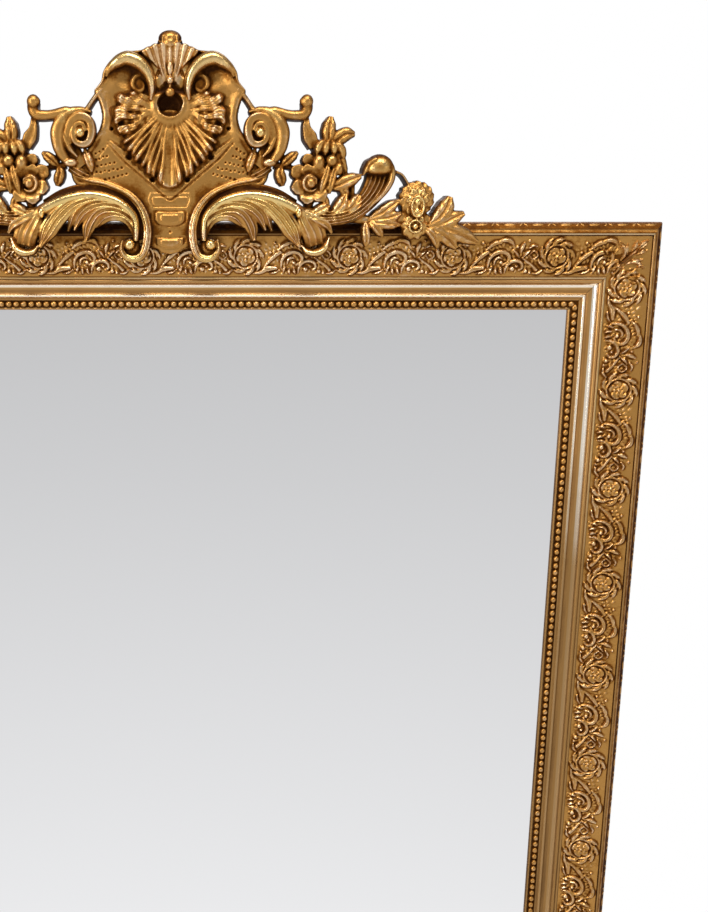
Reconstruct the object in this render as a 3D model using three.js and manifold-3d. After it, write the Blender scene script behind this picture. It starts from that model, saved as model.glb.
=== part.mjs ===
// Gilt overmantel mirror: four mitred rails with a running scroll frieze, a silvered plate,
// a backboard, and a pierced crest with a shell, scrolls, acanthus and flowers.
// Millimetres, +Z up. The front faces -Y and the back of the frame lies on the plane Y = 0.
import * as THREE from 'three';
import { mergeVertices } from 'three/addons/utils/BufferGeometryUtils.js';
import loadManifold from 'manifold-3d';

const wasm = await loadManifold();
wasm.setup();

// Frame: outside size, and the height of its top edge over the hanging point at the origin
const FRAME_WIDTH = 1090;
const FRAME_HEIGHT = 1450;
const TOP_EDGE = 44;

// Rail section: distances from the outer edge inwards, and depths from the wall forwards
const RAIL_WIDTH = 97;
const EDGE_DEPTH = 27;
const RIBBON_WIDTH = 7;
const RIBBON_DEPTH = 39;
const OUTER_FILLET = { from: 12.2, to: 14, depth: 46 };
const FRIEZE = { from: 15, to: 59.5, depthOut: 44.4, depthIn: 36.4 };
const INNER_FILLET = { from: 60.4, to: 62.4, depth: 38.1 };
const HOLLOW = { from: 67.2, to: 79.6, rim: 35.6, floor: 31 };
const BEAD_COURSE = { from: 86.4, to: 91.8, floor: 30, crown: 33 };
const SIGHT_LIP = { from: 92.2, crown: 31, edge: 28.4, back: 26.5 };
const REBATE_WIDTH = 9;
const ROUND_STEPS = 3;

// Running scroll of the frieze: one repeat holds a rosette, a stem that coils round it and two leaves
const SCROLL = { repeat: 114.5, relief: 3.2, topPhase: 83.5, sidePhase: -653, endClear: 30 };
const ROSETTE = { radius: 13, sides: 6 };

// Plate and backboard, both let into the rebate from behind
const PLATE_THICKNESS = 5;
const BOARD_THICKNESS = 9;
const PLATE_CLEARANCE = 1;
const FACE_GAP = 0.3;

// Crest: heights are over the frame's top edge, depths are from the wall forwards
const CREST = { back: 24, plate: 50, edge: 48, crown: 62 };
const SHELL = { height: 122, holeRadius: 11, rootRadius: 21, flutes: 9, halfSpan: 76 };
const PALMETTE = { height: 126, rootRadius: 10, flutes: 5, halfSpan: 30 };
const SEAT_GAP = 0.4;

const GILT = new THREE.MeshStandardMaterial({ color: 0xb98a45, roughness: 0.38, metalness: 0.9 });
const SILVERED = new THREE.MeshStandardMaterial({ color: 0xe6e6e6, roughness: 0.03, metalness: 1 });
const DEAL = new THREE.MeshStandardMaterial({ color: 0x6b4a2e, roughness: 0.8, metalness: 0 });

// Solids: plain position meshes in and out of the boolean library

function toSolid(geometry) {
  const bare = geometry.index ? geometry.toNonIndexed() : geometry.clone();
  bare.deleteAttribute('normal');
  bare.deleteAttribute('uv');
  const merged = mergeVertices(bare, 1e-4);
  return new wasm.Manifold(new wasm.Mesh({
    numProp: 3,
    vertProperties: new Float32Array(merged.attributes.position.array),
    triVerts: new Uint32Array(merged.index.array),
  }));
}

function toGeometry(solid) {
  const { vertProperties, triVerts } = solid.getMesh();
  const geometry = new THREE.BufferGeometry();
  geometry.setAttribute('position', new THREE.BufferAttribute(vertProperties, 3));
  geometry.setIndex(new THREE.BufferAttribute(triVerts, 1));
  return geometry;
}

function join(geometries) {
  return geometries.map(toSolid).reduce((whole, piece) => whole.add(piece));
}

// Triangles of a closed skin through rings of points, with both ends capped by fans
function skin(rings) {
  const size = rings[0].length;
  const last = (rings.length - 1) * size;
  const index = [];
  for (let r = 0; r + 1 < rings.length; r += 1) {
    for (let i = 0; i < size; i += 1) {
      const a = r * size + i;
      const b = r * size + (i + 1) % size;
      index.push(a, b, a + size, b, b + size, a + size);
    }
  }
  for (let i = 1; i + 1 < size; i += 1) {
    index.push(0, i + 1, i);
    index.push(last, last + i, last + i + 1);
  }
  const geometry = new THREE.BufferGeometry();
  const flat = rings.flat().flatMap((p) => [p.x, p.y, p.z]);
  geometry.setAttribute('position', new THREE.Float32BufferAttribute(flat, 3));
  geometry.setIndex(index);
  return geometry;
}

const valueAt = (value, t) => (typeof value === 'function' ? value(t) : value);

// A carved band swept along a curve in the XZ plane: a ridge of half-width width between edges at
// depth edge, rising to depth crown. With a back depth it gets upright sides, else it is flat behind
function band(curve, { steps, width, crown, edge, back, ribs = 3 }) {
  const rings = [];
  for (let k = 0; k <= steps; k += 1) {
    const t = k / steps;
    const centre = curve.getPoint(t);
    const tangent = curve.getTangent(t);
    const across = new THREE.Vector3(-tangent.z, 0, tangent.x).normalize();
    const half = valueAt(width, t);
    const low = valueAt(edge, t);
    const rise = valueAt(crown, t) - low;
    const at = (s, depth) => new THREE.Vector3(
      centre.x + across.x * half * s, -depth, centre.z + across.z * half * s);
    const ring = back === undefined ? [] : [at(-1, back), at(1, back)];
    for (let i = 0; i < ribs; i += 1) {
      const s = 1 - (2 * i) / (ribs - 1);
      ring.push(at(s, low + rise * Math.sqrt(Math.max(0, 1 - s * s))));
    }
    rings.push(ring);
  }
  return skin(rings);
}

const crestPoint = ([x, h]) => new THREE.Vector3(x, 0, TOP_EDGE + h);
const route = (points) => new THREE.CatmullRomCurve3(points.map(crestPoint), false, 'centripetal');

// A flat spiral in the crest's plane, from the outer radius to the inner one
class Spiral extends THREE.Curve {
  constructor(centre, outer, inner, start, sweep) {
    super();
    Object.assign(this, { centre, outer, inner, start, sweep });
  }

  getPoint(t) {
    const r = this.outer + (this.inner - this.outer) * t;
    const a = THREE.MathUtils.degToRad(this.start + this.sweep * t);
    return crestPoint([this.centre[0] + r * Math.cos(a), this.centre[1] + r * Math.sin(a)]);
  }
}

// Rails

function railProfile() {
  const lip = RAIL_WIDTH;
  const rebate = RAIL_WIDTH - REBATE_WIDTH;
  const path = new THREE.Path();
  path.moveTo(0, 0);
  path.lineTo(0, EDGE_DEPTH);
  path.quadraticCurveTo(0, RIBBON_DEPTH - 1.5, RIBBON_WIDTH, RIBBON_DEPTH);
  path.quadraticCurveTo(RIBBON_WIDTH + 1, OUTER_FILLET.depth - 2,
    OUTER_FILLET.from, OUTER_FILLET.depth - 1.5);
  path.lineTo(OUTER_FILLET.from, OUTER_FILLET.depth);
  path.lineTo(OUTER_FILLET.to, OUTER_FILLET.depth);
  path.lineTo(OUTER_FILLET.to, FRIEZE.depthOut);
  path.lineTo(FRIEZE.to, FRIEZE.depthIn);
  path.lineTo(INNER_FILLET.from, FRIEZE.depthIn);
  path.lineTo(INNER_FILLET.from, INNER_FILLET.depth);
  path.lineTo(INNER_FILLET.to, INNER_FILLET.depth);
  path.lineTo(INNER_FILLET.to + 0.6, INNER_FILLET.depth - 1.4);
  path.quadraticCurveTo(HOLLOW.from - 2, INNER_FILLET.depth + 0.8, HOLLOW.from, HOLLOW.rim);
  path.quadraticCurveTo(HOLLOW.from + 2, HOLLOW.floor,
    (HOLLOW.from + HOLLOW.to) / 2 + 1.5, HOLLOW.floor);
  path.quadraticCurveTo(HOLLOW.to - 0.5, HOLLOW.floor, HOLLOW.to, HOLLOW.floor + 2);
  path.quadraticCurveTo(HOLLOW.to + 1.8, HOLLOW.floor + 4, HOLLOW.to + 3.6, HOLLOW.floor + 1);
  path.lineTo(BEAD_COURSE.from - 0.8, BEAD_COURSE.floor + 2);
  path.lineTo(BEAD_COURSE.from, BEAD_COURSE.floor);
  path.quadraticCurveTo((BEAD_COURSE.from + BEAD_COURSE.to) / 2, 2 * BEAD_COURSE.crown - BEAD_COURSE.floor,
    BEAD_COURSE.to, BEAD_COURSE.floor);
  path.lineTo(SIGHT_LIP.from, BEAD_COURSE.floor - 0.6);
  path.quadraticCurveTo(lip - 2, 2 * SIGHT_LIP.crown - SIGHT_LIP.edge - 1.5, lip, SIGHT_LIP.edge);
  path.lineTo(lip, SIGHT_LIP.back);
  path.lineTo(rebate, SIGHT_LIP.back);
  path.lineTo(rebate, 0);
  return path.getPoints(ROUND_STEPS).reverse();
}

// A straight rail along X with its outer edge on Z = 0 and both ends cut to a 45 degree mitre
function railBar(length, profile) {
  const corner = length / 2 - FACE_GAP;
  const end = (side) => profile.map((p) => new THREE.Vector3(side * (corner - p.x), -p.y, -p.x));
  const size = profile.length;
  const index = [];
  for (let i = 0; i < size; i += 1) {
    const j = (i + 1) % size;
    index.push(i, i + size, j, j, i + size, j + size);
  }
  for (const [a, b, c] of THREE.ShapeUtils.triangulateShape(profile, [])) {
    index.push(a, b, c);
    index.push(a + size, c + size, b + size);
  }
  const geometry = new THREE.BufferGeometry();
  const flat = [...end(-1), ...end(1)].flatMap((p) => [p.x, p.y, p.z]);
  geometry.setAttribute('position', new THREE.Float32BufferAttribute(flat, 3));
  geometry.setIndex(index);
  return geometry;
}

// Places relief on the sloping frieze: s along the rail, v across it from the middle, lift off the ground
function onFrieze(s, v, lift) {
  const run = FRIEZE.to - FRIEZE.from;
  const share = 0.5 + v / run;
  const ground = FRIEZE.depthOut + (FRIEZE.depthIn - FRIEZE.depthOut) * share;
  return new THREE.Vector3(s, -(ground + lift), -(FRIEZE.from + run * share));
}

// A domed rosette, sunk a little into the ground
function friezeRosette(s0) {
  const ring = (share, lift) => Array.from({ length: ROSETTE.sides }, (_, i) => {
    const a = (2 * Math.PI * i) / ROSETTE.sides;
    const r = ROSETTE.radius * share;
    return onFrieze(s0 + r * Math.cos(a), -r * Math.sin(a), lift);
  });
  return skin([ring(1.05, -1), ring(0.6, SCROLL.relief)]);
}

// A ridged stroke on the frieze, from points [s, v], thin at both ends
function friezeStroke(points, steps, half) {
  const curve = new THREE.CatmullRomCurve3(points.map(([s, v]) => new THREE.Vector3(s, v, 0)));
  const rings = [];
  for (let k = 0; k <= steps; k += 1) {
    const t = k / steps;
    const c = curve.getPoint(t);
    const d = curve.getTangent(t);
    const w = half * (0.4 + 0.6 * Math.sin(Math.PI * t));
    const at = (side, lift) => onFrieze(c.x - d.y * side * w, c.y + d.x * side * w, lift);
    rings.push([at(1, -1), at(-1, -1), at(0, SCROLL.relief)]);
  }
  return skin(rings);
}

// One repeat of the running scroll, centred on its rosette
function friezeRepeat(s0) {
  const shift = (points) => points.map(([s, v]) => [s + s0, v]);
  const coil = shift([[-40, 14], [-23, 11], [-17.5, -6], [-4, -17], [14, -13]]);
  const leaf = shift([[18, 13], [34, -1], [50, -14]]);
  return [
    friezeRosette(s0),
    friezeStroke(coil, 3, 5),
    friezeStroke(leaf, 2, 8),
  ];
}

function rail(length, phase) {
  const reach = length / 2 - RAIL_WIDTH / 2 - SCROLL.endClear;
  const pieces = [railBar(length, railProfile())];
  const first = Math.ceil((-reach - phase) / SCROLL.repeat);
  const last = Math.floor((reach - phase) / SCROLL.repeat);
  for (let k = first; k <= last; k += 1) {
    pieces.push(...friezeRepeat(phase + k * SCROLL.repeat));
  }
  return toGeometry(join(pieces));
}

// Crest

// The flat ground of the cartouche: half outline from the top, mirrored
function cartoucheGround() {
  const half = [[0, 186], [26, 183], [33, 175], [51, 172], [63, 162], [69, 150], [80, 138], [75, 127],
    [72, 110], [76, 96], [88, 76], [106, 52], [98, 37], [77, 36], [53, 30], [41, 18], [31, 3],
    [26, -12], [28, -26], [16, -28], [0, -34]];
  const mirrored = half.slice(1, -1).reverse().map(([x, h]) => [-x, h]);
  const outline = [...half, ...mirrored].map(([x, h]) => new THREE.Vector2(x, h));
  const depth = CREST.plate - CREST.back;
  const geometry = new THREE.ExtrudeGeometry(new THREE.Shape(outline), { depth, bevelEnabled: false });
  return geometry.rotateX(Math.PI / 2).translate(0, -CREST.back, TOP_EDGE);
}

// A fan of ridges round a point of the axis, upright or hanging
function fan({ height, rootRadius, flutes, halfSpan }, down, reach, halfWidth, crown) {
  return Array.from({ length: flutes }, (_, i) => {
    const angle = THREE.MathUtils.degToRad(-halfSpan + (2 * halfSpan * i) / (flutes - 1));
    const share = Math.abs(angle) / THREE.MathUtils.degToRad(halfSpan);
    const ray = (r) => [r * Math.sin(angle), height + (down ? -1 : 1) * r * Math.cos(angle)];
    const tip = reach(share);
    const curve = route([ray(rootRadius), ray((rootRadius + tip) / 2), ray(tip)]);
    return band(curve, {
      steps: 2, width: (t) => halfWidth * (0.3 + 0.7 * t), crown, edge: CREST.edge,
    });
  });
}

function leaf(base, tip, half, crown, edge) {
  return band(route([base, tip]), {
    steps: 2, width: (t) => 0.6 + half * Math.sin(Math.PI * (0.25 + 0.75 * t)), crown, edge,
  });
}

function rose([x, h], radius, petals, back, crown) {
  const ring = (share, depth, scallop) => Array.from({ length: petals * 2 }, (_, i) => {
    const a = (Math.PI * i) / petals;
    const r = radius * share * (i % 2 ? 1 - scallop : 1);
    return new THREE.Vector3(x + r * Math.cos(a), -depth, TOP_EDGE + h + r * Math.sin(a));
  });
  const rise = crown - back;
  return skin([ring(0.95, back, 0.16), ring(0.85, back + rise * 0.7, 0.18), ring(0.36, crown, 0)]);
}

function ball([x, h], radius, depth) {
  return new THREE.SphereGeometry(radius, 7, 4).translate(x, -depth, TOP_EDGE + h);
}

// Rolled shoulder of the cartouche, curling in beside the palmette
function shoulderScroll() {
  const roll = route([[71, 150], [62, 162], [47, 167], [33, 160], [25, 147], [22, 133], [27, 122], [36, 121],
    [42, 130]]);
  return [
    band(roll, { steps: 8, width: (t) => 6.5 - 3 * t, crown: 65, edge: CREST.edge }),
    ball([37, 137], 7, 51),
  ];
}

// Open C-scroll beside the cartouche: spiral, outer husk, arm with a knob and the strut to the shoulder
function sideScroll() {
  const arch = { crown: 59, edge: 34 };
  return [
    band(new Spiral([97, 95], 13.5, 9.5, 255, -300), { ...arch, steps: 7, width: 5.5 }),
    ball([97, 95], 8, 48),
    band(route([[83, 113], [97, 120], [112, 117], [124, 106], [129, 90], [127, 75], [118, 61], [105, 56]]),
      { ...arch, steps: 6, width: (t) => 4 + 6.5 * Math.sin(Math.PI * t), crown: 62 }),
    band(route([[108, 116], [130, 113], [143, 116]]), { ...arch, steps: 2, width: 5 }),
    ball([145, 124], 8.5, 46),
    band(route([[76, 140], [88, 112]]), { ...arch, steps: 1, width: 3 }),
    band(route([[74, 104], [92, 76]]), { ...arch, steps: 1, width: 4 }),
  ];
}

// Rim that springs from the bottom volute and arches over the acanthus
function archRim() {
  const rim = route([[52, -24], [49, -36], [38, -39], [30, -28], [27, -11], [31, 5], [41, 20], [55, 31],
    [77, 38], [100, 42]]);
  return [
    band(rim, { steps: 10, width: (t) => 5 - 1.5 * Math.abs(2 * t - 1), crown: 61, edge: 49 }),
    ball([44, -23], 7.5, 56),
  ];
}

// Drooping acanthus: a spine that follows the arch, and lobes that part from it into hanging tips
function acanthus() {
  const spine = route([[35, -14], [40, 3], [52, 17], [72, 25], [100, 27], [130, 20], [158, 4]]);
  const lobes = [
    [[50, 10], [66, 10], [79, -6]], [[66, 18], [84, 10], [92, -22]], [[86, 22], [104, 10], [111, -14]],
    [[106, 20], [130, 4], [143, -26]],
  ];
  return [
    band(spine, { steps: 6, width: (t) => 4 + 5 * Math.sin(Math.PI * t), crown: 67, edge: 47 }),
    ...lobes.map((lobe, i) => band(route(lobe), {
      steps: 3, width: (t) => (9.5 + i) * (1 - 0.8 * t * t), crown: (t) => 65 - 5 * t, edge: 46.8,
    })),
  ];
}

// Rising leaf whose head hooks forwards, with the folded foot that laps over the frame
function hookedLeaf() {
  const spine = route([[146, 12], [168, 2], [192, -2], [212, 6], [226, 24], [232, 44], [227, 62]]);
  const body = { steps: 6, edge: 50, back: 34 };
  const tips = [[178, 16], [196, 16]];
  return [
    band(spine, { ...body, ribs: 5, width: (t) => 9 + 4 * Math.sin(Math.PI * t), crown: 60 }),
    ...tips.map(([x, h]) => band(route([[x - 18, -2], [x - 6, 2], [x, h]]),
      { steps: 2, width: (t) => 5 - 3.5 * t, crown: 60, edge: 42 })),
    ball([225, 61], 14, 53),
    band(route([[224, 68], [217, 60], [214, 51]]), { steps: 2, width: (t) => 7 - 4 * t, crown: 64, edge: 50 }),
    band(route([[150, 10], [160, -8], [163, -30]]), { steps: 3, width: (t) => 8 + 4 * t, crown: 63, edge: 47 }),
    band(route([[238, 54], [250, 52], [260, 42]]), { steps: 2, width: 2.6, crown: 49, edge: 42 }),
  ];
}

// Flowers between the side scroll and the hooked leaf
function upperFlowers() {
  const stem = { steps: 1, width: 3.2, crown: 52, edge: 40 };
  const foliage = [
    [[147, 116], [161, 70], 7], [[172, 70], [173, 112], 7.5], [[172, 72], [200, 92], 7.5],
    [[166, 46], [200, 51], 7], [[118, 60], [137, 72], 4.5], [[120, 66], [123, 40], 5],
  ];
  return [
    rose([153, 43], 20, 5, 36, 60),
    rose([168, 67], 17, 4, 36, 58),
    ...foliage.map(([base, tip, half]) => leaf(base, tip, half, 55, 40)),
    band(route([[114, 62], [142, 50]]), stem),
    band(route([[152, 30], [150, 8]]), { ...stem, width: 4 }),
    band(route([[166, 52], [184, 4]]), { ...stem, width: 6 }),
    band(route([[194, 52], [214, 54]]), stem),
  ];
}

// Flowers and leaves that end the crest on the frame's top edge
function outerFlowers() {
  const foliage = [
    [[278, 4], [304, 28], 6.5], [[278, 2], [320, 9], 7], [[276, -4], [330, -11], 6],
    [[274, -8], [312, -30], 7], [[288, -15], [336, -26], 5.5], [[228, 6], [257, 18], 5.5],
    [[228, 2], [255, -4], 5.5], [[230, 2], [246, -20], 5],
  ];
  return [
    rose([268, 23], 20, 5, 42, 60),
    rose([265, -5], 17, 4, 42, 60),
    ...foliage.map(([base, tip, half]) => leaf(base, tip, half, 57, 42)),
  ];
}

// Raised tablets down the foot of the cartouche
function tablets() {
  return [[4, 13], [-21, 12]].map(([h, half]) => (
    new THREE.BoxGeometry(2 * half, 8, 9).translate(0, -CREST.plate, TOP_EDGE + h)));
}

const mirrorX = (solid) => solid.mirror([1, 0, 0]);

// What the crest is cut back to: the outer moulding of the top rail, a little enlarged
function seat() {
  const front = OUTER_FILLET.depth + SEAT_GAP;
  const outline = [[4, SEAT_GAP], [RIBBON_DEPTH - 4, SEAT_GAP], [RIBBON_DEPTH + SEAT_GAP, -3.5],
    [front, -OUTER_FILLET.from + SEAT_GAP], [front, -RAIL_WIDTH], [4, -RAIL_WIDTH]];
  const shape = new THREE.Shape(outline.map(([depth, h]) => new THREE.Vector2(depth, h)));
  const geometry = new THREE.ExtrudeGeometry(shape, { depth: FRAME_WIDTH, bevelEnabled: false });
  const turned = geometry.translate(0, TOP_EDGE, -FRAME_WIDTH / 2);
  return turned.applyMatrix4(new THREE.Matrix4().set(0, 0, -1, 0, -1, 0, 0, 0, 0, 1, 0, 0, 0, 0, 0, 1));
}

function crest() {
  const shell = fan(SHELL, true, (share) => 86 - 22 * share, 8.5, (t) => 56 + 6 * Math.sin(Math.PI * t));
  const palmette = fan(PALMETTE, false, (share) => 60 - 3 * share, 6, (t) => 57 + 8 * t);
  const middle = join([cartoucheGround(), ...shell, ...palmette, ...tablets(), ball([0, 189], 11, 56)]);
  const hole = toSolid(ball([0, SHELL.height], SHELL.holeRadius, CREST.plate + 2));
  const half = join([
    ...shoulderScroll(), ...archRim(), ...sideScroll(), ...acanthus(), ...hookedLeaf(),
    ...upperFlowers(), ...outerFlowers(),
  ]);
  return toGeometry(middle.subtract(hole).add(half).add(mirrorX(half)).subtract(toSolid(seat())));
}

// Flat panels let into the rebate, from depth front backwards
function panel(front, thickness) {
  const inset = RAIL_WIDTH - REBATE_WIDTH + PLATE_CLEARANCE;
  const geometry = new THREE.BoxGeometry(FRAME_WIDTH - 2 * inset, thickness, FRAME_HEIGHT - 2 * inset);
  return geometry.translate(0, -(front - thickness / 2), TOP_EDGE - FRAME_HEIGHT / 2);
}

// Assembly

const mirror = new THREE.Group();

function addPiece(name, geometry, material, parent = mirror) {
  const mesh = new THREE.Mesh(geometry, material);
  mesh.name = name;
  parent.add(mesh);
}

// The rails in turn, clockwise from the top; each one lies along its own edge of the frame
const RAIL_NAMES = ['top_rail', 'right_rail', 'bottom_rail', 'left_rail'];

RAIL_NAMES.forEach((name, turn) => {
  const upright = turn % 2 === 1;
  const angle = (turn * Math.PI) / 2;
  const side = new THREE.Group();
  side.position.set(
    (Math.sin(angle) * FRAME_WIDTH) / 2, 0, TOP_EDGE - ((1 - Math.cos(angle)) * FRAME_HEIGHT) / 2);
  side.rotation.y = angle;
  mirror.add(side);
  const length = upright ? FRAME_HEIGHT : FRAME_WIDTH;
  addPiece(name, rail(length, upright ? SCROLL.sidePhase : SCROLL.topPhase), GILT, side);
});

const plateFront = SIGHT_LIP.back - FACE_GAP;
addPiece('mirror_plate', panel(plateFront, PLATE_THICKNESS), SILVERED);
addPiece('backboard', panel(plateFront - PLATE_THICKNESS - FACE_GAP, BOARD_THICKNESS), DEAL);
addPiece('crest', crest(), GILT);

export default mirror;
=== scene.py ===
# gilt overmantel mirror with a pierced shell crest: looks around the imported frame
import bpy
import bmesh
import math
import numpy as np
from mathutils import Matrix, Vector


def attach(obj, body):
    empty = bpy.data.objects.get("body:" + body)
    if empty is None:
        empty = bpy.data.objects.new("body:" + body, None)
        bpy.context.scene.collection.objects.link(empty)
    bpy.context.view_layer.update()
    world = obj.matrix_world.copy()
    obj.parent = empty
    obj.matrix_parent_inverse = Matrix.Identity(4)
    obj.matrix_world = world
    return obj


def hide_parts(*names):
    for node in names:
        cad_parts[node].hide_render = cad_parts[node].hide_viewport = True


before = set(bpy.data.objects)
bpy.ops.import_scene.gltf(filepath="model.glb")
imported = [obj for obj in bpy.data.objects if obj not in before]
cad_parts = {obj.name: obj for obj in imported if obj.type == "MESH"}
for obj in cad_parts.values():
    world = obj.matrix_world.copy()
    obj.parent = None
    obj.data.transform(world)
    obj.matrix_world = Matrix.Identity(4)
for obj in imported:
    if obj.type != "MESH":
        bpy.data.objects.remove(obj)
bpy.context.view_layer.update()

mm = 0.001
frameSize = {"width": 1090.0, "height": 1450.0, "topEdge": 44.0}   # mm, as packed

# the camera stands level with the top rail, tilted down
cameraSet = {"place": (0.0, -1.3186, 0.0529), "tilt": 78.0, "lens": 45.0, "sensor": 36.0,
             "photoWide": 708, "photoTall": 912, "axisPixel": 170.0}
cameraData = bpy.data.cameras.new("photoCamera")
cameraData.sensor_width = cameraSet["sensor"]
cameraData.lens = cameraSet["lens"]
cameraData.shift_x = (cameraSet["photoWide"] / 2 - cameraSet["axisPixel"]) / cameraSet["photoTall"]
cameraData.clip_end = 200
photoCamera = bpy.data.objects.new("photoCamera", cameraData)
photoCamera.location = cameraSet["place"]
photoCamera.rotation_euler = (math.radians(cameraSet["tilt"]), 0, 0)
bpy.context.scene.collection.objects.link(photoCamera)
bpy.context.scene.camera = photoCamera
print("camera set")


# shared node groups, then the finishes

def newGroup(name, inputs, outputs):
    group = bpy.data.node_groups.new(name, "ShaderNodeTree")
    for socketName, kind, value in inputs:
        made = group.interface.new_socket(socketName, in_out="INPUT", socket_type=kind)
        made.default_value = value
    for socketName, kind in outputs:
        group.interface.new_socket(socketName, in_out="OUTPUT", socket_type=kind)
    return group, group.nodes.new("NodeGroupInput"), group.nodes.new("NodeGroupOutput")


def addNode(tree, kind, links=None, **settings):
    node = tree.nodes.new(kind)
    for key, value in settings.items():
        setattr(node, key, value)
    for key, value in (links or {}).items():
        if isinstance(value, bpy.types.NodeSocket):
            tree.links.new(value, node.inputs[key])
        else:
            node.inputs[key].default_value = value
    return node


def mathNode(tree, operation, a, b=0.0, c=0.0, clamp=False):
    node = tree.nodes.new("ShaderNodeMath")
    node.operation = operation
    node.use_clamp = clamp
    for index, value in enumerate((a, b, c)):
        if isinstance(value, bpy.types.NodeSocket):
            tree.links.new(value, node.inputs[index])
        else:
            node.inputs[index].default_value = value
    return node.outputs[0]


def mixColour(tree, factor, a, b):
    node = tree.nodes.new("ShaderNodeMix")
    node.data_type = "RGBA"
    for socket, value in ((node.inputs["Factor"], factor), (node.inputs["A"], a),
                          (node.inputs["B"], b)):
        if isinstance(value, bpy.types.NodeSocket):
            tree.links.new(value, socket)
        elif isinstance(value, tuple) and len(value) == 3:
            socket.default_value = (*value, 1.0)
        else:
            socket.default_value = value
    return [s for s in node.outputs if s.type == "RGBA"][0]


def rampNode(tree, factor, stops):
    node = tree.nodes.new("ShaderNodeValToRGB")
    ramp = node.color_ramp
    while len(ramp.elements) < len(stops):
        ramp.elements.new(0.5)
    for element, (place, colour) in zip(ramp.elements, stops):
        element.position = place
        element.color = (*colour, 1.0) if len(colour) == 3 else colour
    tree.links.new(factor, node.inputs["Fac"])
    return node.outputs["Color"]


def spread(tree, value, low, high, start, end):
    # the range from low to high, laid over start to end
    node = addNode(tree, "ShaderNodeMapRange", {"Value": value, 1: low, 2: high, 3: start, 4: end})
    return node.outputs[0]


def addBump(tree, shader, height, strength, distance):
    bump = addNode(tree, "ShaderNodeBump", {"Height": height, "Strength": strength, "Distance": distance})
    tree.links.new(bump.outputs["Normal"], shader.inputs["Normal"])


def objectCoords(tree):
    return tree.nodes.new("ShaderNodeTexCoord").outputs["Object"]


def wearGroup():
    # patches of rubbed leaf, fine grime and small nicks, over object coordinates
    group, given, out = newGroup(
        "leafWear",
        [("Vector", "NodeSocketVector", (0, 0, 0)), ("Patch Scale", "NodeSocketFloat", 14.0),
         ("Grain Scale", "NodeSocketFloat", 420.0)],
        [("Patch", "NodeSocketFloat"), ("Mottle", "NodeSocketFloat"), ("Grain", "NodeSocketFloat"),
         ("Specks", "NodeSocketFloat")])
    vector = given.outputs["Vector"]
    patch = addNode(group, "ShaderNodeTexNoise", {
        "Vector": vector, "Scale": given.outputs["Patch Scale"], "Detail": 5.0, "Roughness": 0.62})
    grain = addNode(group, "ShaderNodeTexNoise", {
        "Vector": vector, "Scale": given.outputs["Grain Scale"], "Detail": 3.0, "Roughness": 0.6})
    mottle = addNode(group, "ShaderNodeTexNoise", {
        "Vector": vector, "Scale": 120.0, "Detail": 4.0, "Roughness": 0.65})
    specks = addNode(group, "ShaderNodeTexVoronoi", {"Vector": vector, "Scale": 210.0})
    spot = mathNode(group, "SUBTRACT", 0.16, specks.outputs["Distance"])
    spot = mathNode(group, "MULTIPLY", spot, 9.0, clamp=True)
    group.links.new(patch.outputs["Fac"], out.inputs["Patch"])
    group.links.new(mottle.outputs["Fac"], out.inputs["Mottle"])
    group.links.new(grain.outputs["Fac"], out.inputs["Grain"])
    group.links.new(spot, out.inputs["Specks"])
    return group


leafWear = wearGroup()


def useWear(tree, coords, patchScale, grainScale):
    node = tree.nodes.new("ShaderNodeGroup")
    node.node_tree = leafWear
    tree.links.new(coords, node.inputs["Vector"])
    node.inputs["Patch Scale"].default_value = patchScale
    node.inputs["Grain Scale"].default_value = grainScale
    return node


def newFinish(name):
    finish = bpy.data.materials.new(name)
    finish.use_nodes = True
    tree = finish.node_tree
    tree.nodes.clear()
    shader = tree.nodes.new("ShaderNodeBsdfPrincipled")
    output = tree.nodes.new("ShaderNodeOutputMaterial")
    tree.links.new(shader.outputs["BSDF"], output.inputs["Surface"])
    return finish, tree, shader


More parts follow.
